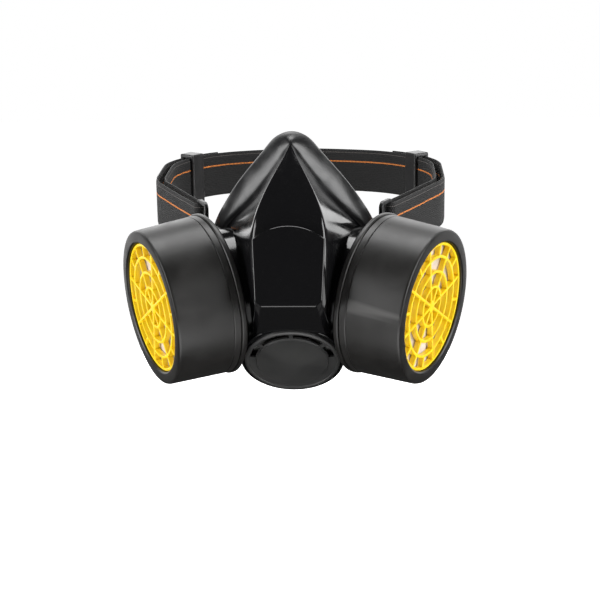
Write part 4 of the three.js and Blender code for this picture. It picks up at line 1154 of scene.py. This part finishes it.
def face_seal():
    """The seal, swept round the rim and mirrored, with a smooth curve through its stations."""
    half = []
    for (x, y, z), rim_height in SEAL_STATIONS:
        wide, deep = rim_at(rim_height)
        half.append((Vector((x, y, z)), Vector((0 if x == 0 else wide, deep, rim_height))))
    mirrored = [(Vector((-e.x, e.y, e.z)), Vector((-r.x, r.y, r.z))) for e, r in reversed(half[1:-1])]
    stations = half + mirrored
    count = len(stations)
    per_span = 5             # sections from one station to the next

    def spline(points, i, s):
        p0, p1, p2, p3 = (points[(i + k - 1) % count] for k in range(4))
        return 0.5 * ((2 * p1) + (p2 - p0) * s + (2 * p0 - 5 * p1 + 4 * p2 - p3) * s * s
                      + (3 * p1 - p0 - 3 * p2 + p3) * s ** 3)

    edges = [e for e, _ in stations]
    rims = [r for _, r in stations]
    bm = bmesh.new()
    loops = []
    for i in range(count):
        for k in range(per_span):
            edge = spline(edges, i, k / per_span)
            rim = spline(rims, i, k / per_span)
            rim.y = rim_at(rim.z)[1]
            outward = Vector((edge.x, 0, edge.z - SEAL_MIDDLE_Z))
            reach = outward.length
            outward.normalize()
            loops.append([bm.verts.new(p) for p in seal_section(edge, rim, outward, reach)])
    skin(bm, loops, closed=True)
    obj = object_from(bm, "rubber_face_seal")
    smooth = obj.modifiers.new("smooth", "SUBSURF")
    smooth.levels = smooth.render_levels = 2
    apply_modifiers(obj)
    return place(obj, IN_MM)


finish_piece(face_seal(), SEAL_BLACK, "mask", ["face_seal"], 60)


# ---------------------------------------------------------------- head strap

STRAP_THICKNESS = 1.4
STRAP_HEADING = math.radians(24)
STRAP_BEND = 55.0
STRAP_HALF = 78.0
STRAP_SIDE_END = 112.0
STRAP_BACK = 60.0
STRAP_TAIL = 168.0
SLIDER_LENGTH = 10.0
SLIDER_WALL = 1.8
SLIDER_TURN = math.radians(30)     # round the back of the head, from its side
LOOP_LENGTH = 14.0
FOLD = LOOP_BAR / 2 * math.sqrt(2) + 0.2
STRANDS = 2 * FOLD + STRAP_THICKNESS
REAR_BAR = (LOOP_X + (LOOP_LENGTH - LOOP_BAR) * math.sin(STRAP_HEADING),
            LOOP_Y + (LOOP_LENGTH - LOOP_BAR) * math.cos(STRAP_HEADING))


def back_point(turn):
    """A point (x, y, heading) on the main strand round the back of the head."""
    return (STRAP_HALF * math.cos(turn), STRAP_SIDE_END + STRAP_BACK * math.sin(turn),
            -math.atan2(STRAP_HALF * math.sin(turn), STRAP_BACK * math.cos(turn)))


def strap_route():
    """Points (x, y, heading) along the middle of the main strand's right half, loop to back of head."""
    start = (REAR_BAR[0] - STRANDS / 2 * math.cos(STRAP_HEADING),
             REAR_BAR[1] + STRANDS / 2 * math.sin(STRAP_HEADING))
    bend_width = STRAP_BEND * (1 - math.cos(STRAP_HEADING))
    straight = (STRAP_HALF - bend_width - start[0]) / math.sin(STRAP_HEADING)
    route = []
    for i in range(24):
        run = straight * i / 24
        route.append((start[0] + run * math.sin(STRAP_HEADING),
                      start[1] + run * math.cos(STRAP_HEADING), STRAP_HEADING))
    bend_y = start[1] + straight * math.cos(STRAP_HEADING)
    for i in range(12):
        angle = STRAP_HEADING * (1 - i / 12)
        route.append((STRAP_HALF - STRAP_BEND * (1 - math.cos(angle)),
                      bend_y + STRAP_BEND * (math.sin(STRAP_HEADING) - math.sin(angle)), angle))
    last_y = bend_y + STRAP_BEND * math.sin(STRAP_HEADING)
    for i in range(16):
        route.append((STRAP_HALF, last_y + (STRAP_SIDE_END - last_y) * i / 16, 0.0))
    for i in range(65):
        route.append(back_point(math.pi / 2 * i / 64))
    return route


def ribbon_line():
    """The webbing's middle line, from one folded tail round the head to the other."""
    route = strap_route()

    def beside(point, out):
        x, y, angle = point
        return (x + out * math.cos(angle), y - out * math.sin(angle))

    tail, run = [], 0.0
    for i, point in enumerate(route):
        if i:
            run += math.dist(point[:2], route[i - 1][:2])
        if run > STRAP_TAIL:
            break
        tail.append(beside(point, STRANDS))
    middle = FOLD + STRAP_THICKNESS / 2
    fold = []
    for i in range(1, 16):
        turn = -STRAP_HEADING - math.pi * i / 16
        fold.append((REAR_BAR[0] + middle * math.cos(turn), REAR_BAR[1] + middle * math.sin(turn)))
    right = list(reversed(tail)) + fold + [beside(p, 0) for p in route]
    return right + [(-x, y) for x, y in reversed(right[:-1])]


def webbing():
    """A flat woven band with softly rounded selvedges, its UVs in mm along and across."""
    line = ribbon_line()
    across_steps = 14
    bm = bmesh.new()
    layer = bm.loops.layers.uv.new("weave")
    half = STRAP_THICKNESS / 2
    width = WEBBING_WIDTH
    section = []
    for i in range(across_steps + 1):
        z = -width / 2 + width * i / across_steps
        edge = min(1.0, (width / 2 - abs(z)) / 1.0)
        section.append((z, half * (0.45 + 0.55 * math.sqrt(max(edge, 0.0)))))
    runs = [0.0]
    for a, b in zip(line, line[1:]):
        runs.append(runs[-1] + math.dist(a, b))
    rows = []
    for i, (x, y) in enumerate(line):
        a, b = line[max(i - 1, 0)], line[min(i + 1, len(line) - 1)]
        away = Vector((b[1] - a[1], a[0] - b[0], 0)).normalized()
        sway = 0.18 * math.sin(runs[i] * 0.043) + 0.1 * math.sin(runs[i] * 0.11 + 1)
        front = [bm.verts.new((x + away.x * t, y + away.y * t, z + sway)) for z, t in section]
        back = [bm.verts.new((x - away.x * t, y - away.y * t, z + sway)) for z, t in section]
        rows.append((front, back))
    count = len(section)
    loops = [front + back[::-1] for front, back in rows]
    acrosses = [z + width / 2 for z, _ in section]
    acrosses = acrosses + acrosses[::-1]
    size = len(loops[0])
    for i, (here, after) in enumerate(zip(loops, loops[1:])):
        for j in range(size):
            k = (j + 1) % size
            face = bm.faces.new((here[j], here[k], after[k], after[j]))
            for corner, (run, across) in zip(face.loops, (
                    (runs[i], acrosses[j]), (runs[i], acrosses[k]),
                    (runs[i + 1], acrosses[k]), (runs[i + 1], acrosses[j]))):
                corner[layer].uv = (run, across)
    for cap, run in ((loops[0], runs[0]), (loops[-1], runs[-1])):
        for j in range(count - 1):
            face = bm.faces.new((cap[j], cap[j + 1], cap[size - 2 - j], cap[size - 1 - j]))
            ends = (acrosses[j], acrosses[j + 1], acrosses[j + 1], acrosses[j])
            for corner, across in zip(face.loops, ends):
                corner[layer].uv = (run, across)
    bmesh.ops.recalc_face_normals(bm, faces=bm.faces)
    return place(bm, strap_place(), "elastic_webbing"), runs[-1]


strap, strap_length = webbing()
finish_piece(strap, WEBBING, "mask", ["elastic_strap"], 50)


def strap_loop(side_name, side):
    """The moulded rectangle that the strap folds through: a round bar led round a rounded outline."""
    half_length = LOOP_LENGTH / 2
    half_height = WEBBING_WIDTH / 2 + 2 * REST_GAP + LOOP_BAR
    outer = object_from(bar(2 * half_length, 2 * half_height, -LOOP_BAR / 2, LOOP_BAR / 2,
                            -half_length, 0, 0), f"wire_loop_{side_name}")
    hole = object_from(bar(2 * (half_length - LOOP_BAR), 2 * (half_height - LOOP_BAR), -2, 2,
                           -half_length + LOOP_BAR, 0, 0), "window")
    combine(outer, [hole], "DIFFERENCE")
    bm = bmesh.new()
    bm.from_mesh(outer.data)
    bmesh.ops.dissolve_limit(bm, angle_limit=math.radians(1), verts=bm.verts, edges=bm.edges)
    upright = [e for e in bm.edges if abs(e.verts[0].co.z - e.verts[1].co.z) > LOOP_BAR * 0.9]
    outside = [e for e in upright if abs(e.verts[0].co.x) > half_length - 0.1]
    round_edges(bm, outside, 3.6, 6)
    round_edges(bm, corner_edges(bm, 50), 0.55, 3)
    bm.to_mesh(outer.data)
    bm.free()
    along = Vector((side * math.sin(STRAP_HEADING), math.cos(STRAP_HEADING), 0))
    up = Vector((0, 0, 1))
    through = along.cross(up)
    middle = Vector((side * LOOP_X, LOOP_Y, 0)) + along * (half_length - LOOP_BAR / 2)
    turn = Matrix((along, up, through)).transposed().to_4x4()
    return place(outer, strap_place() @ Matrix.Translation(middle) @ turn)


def strap_slider(side_name, side):
    """A flat frame with a slot for each strand, three thumb ridges, and rounded corners."""
    tightest = STRAP_BACK ** 2 / STRAP_HALF        # the radius of the strap's tightest curve
    slot_half = STRAP_THICKNESS / 2 + RUNNING_GAP + SLIDER_LENGTH ** 2 / (8 * tightest)
    half_thick = STRANDS / 2 + slot_half + SLIDER_WALL
    half_high = WEBBING_WIDTH / 2 + RUNNING_GAP + SLIDER_WALL

    def block(size, centre, rounding, name):
        bm = bmesh.new()
        bmesh.ops.create_cube(bm, size=1)
        bmesh.ops.scale(bm, vec=size, verts=bm.verts)
        bmesh.ops.translate(bm, vec=centre, verts=bm.verts)
        if rounding:
            round_edges(bm, list(bm.edges), rounding, 3)
        return object_from(bm, name)

    body = block((2 * half_thick, SLIDER_LENGTH, 2 * half_high), (0, 0, 0), 0.9,
                 f"slide_buckle_{side_name}")
    ridges = [block((1.0, 1.3, 2 * half_high - 6), (half_thick, y, 0), 0.3, "ridge")
              for y in (-2.8, 0, 2.8)]
    combine(body, ridges, "UNION")
    slots = [block((2 * slot_half, 18, WEBBING_WIDTH + 2 * RUNNING_GAP),
                   (strand * STRANDS / 2, 0, 0), 0, "slot") for strand in (-1, 1)]
    combine(body, slots, "DIFFERENCE")
    x, y, heading = back_point(SLIDER_TURN)
    x += STRANDS / 2 * math.cos(heading)
    y -= STRANDS / 2 * math.sin(heading)
    outward = Vector((side * math.cos(heading), -math.sin(heading), 0))
    along = Vector((side * math.sin(heading), math.cos(heading), 0))
    turn = Matrix((outward, along, outward.cross(along))).transposed().to_4x4()
    return place(body, strap_place() @ Matrix.Translation((side * x, y, 0)) @ turn)


for side_name, side in SIDES:
    finish_piece(strap_loop(side_name, side), BUCKLE_BLACK, "mask",
                 [f"strap_loop_{side_name}"])
    finish_piece(strap_slider(side_name, side), BUCKLE_BLACK, f"slider_{side_name}",
                 [f"strap_slider_{side_name}"])
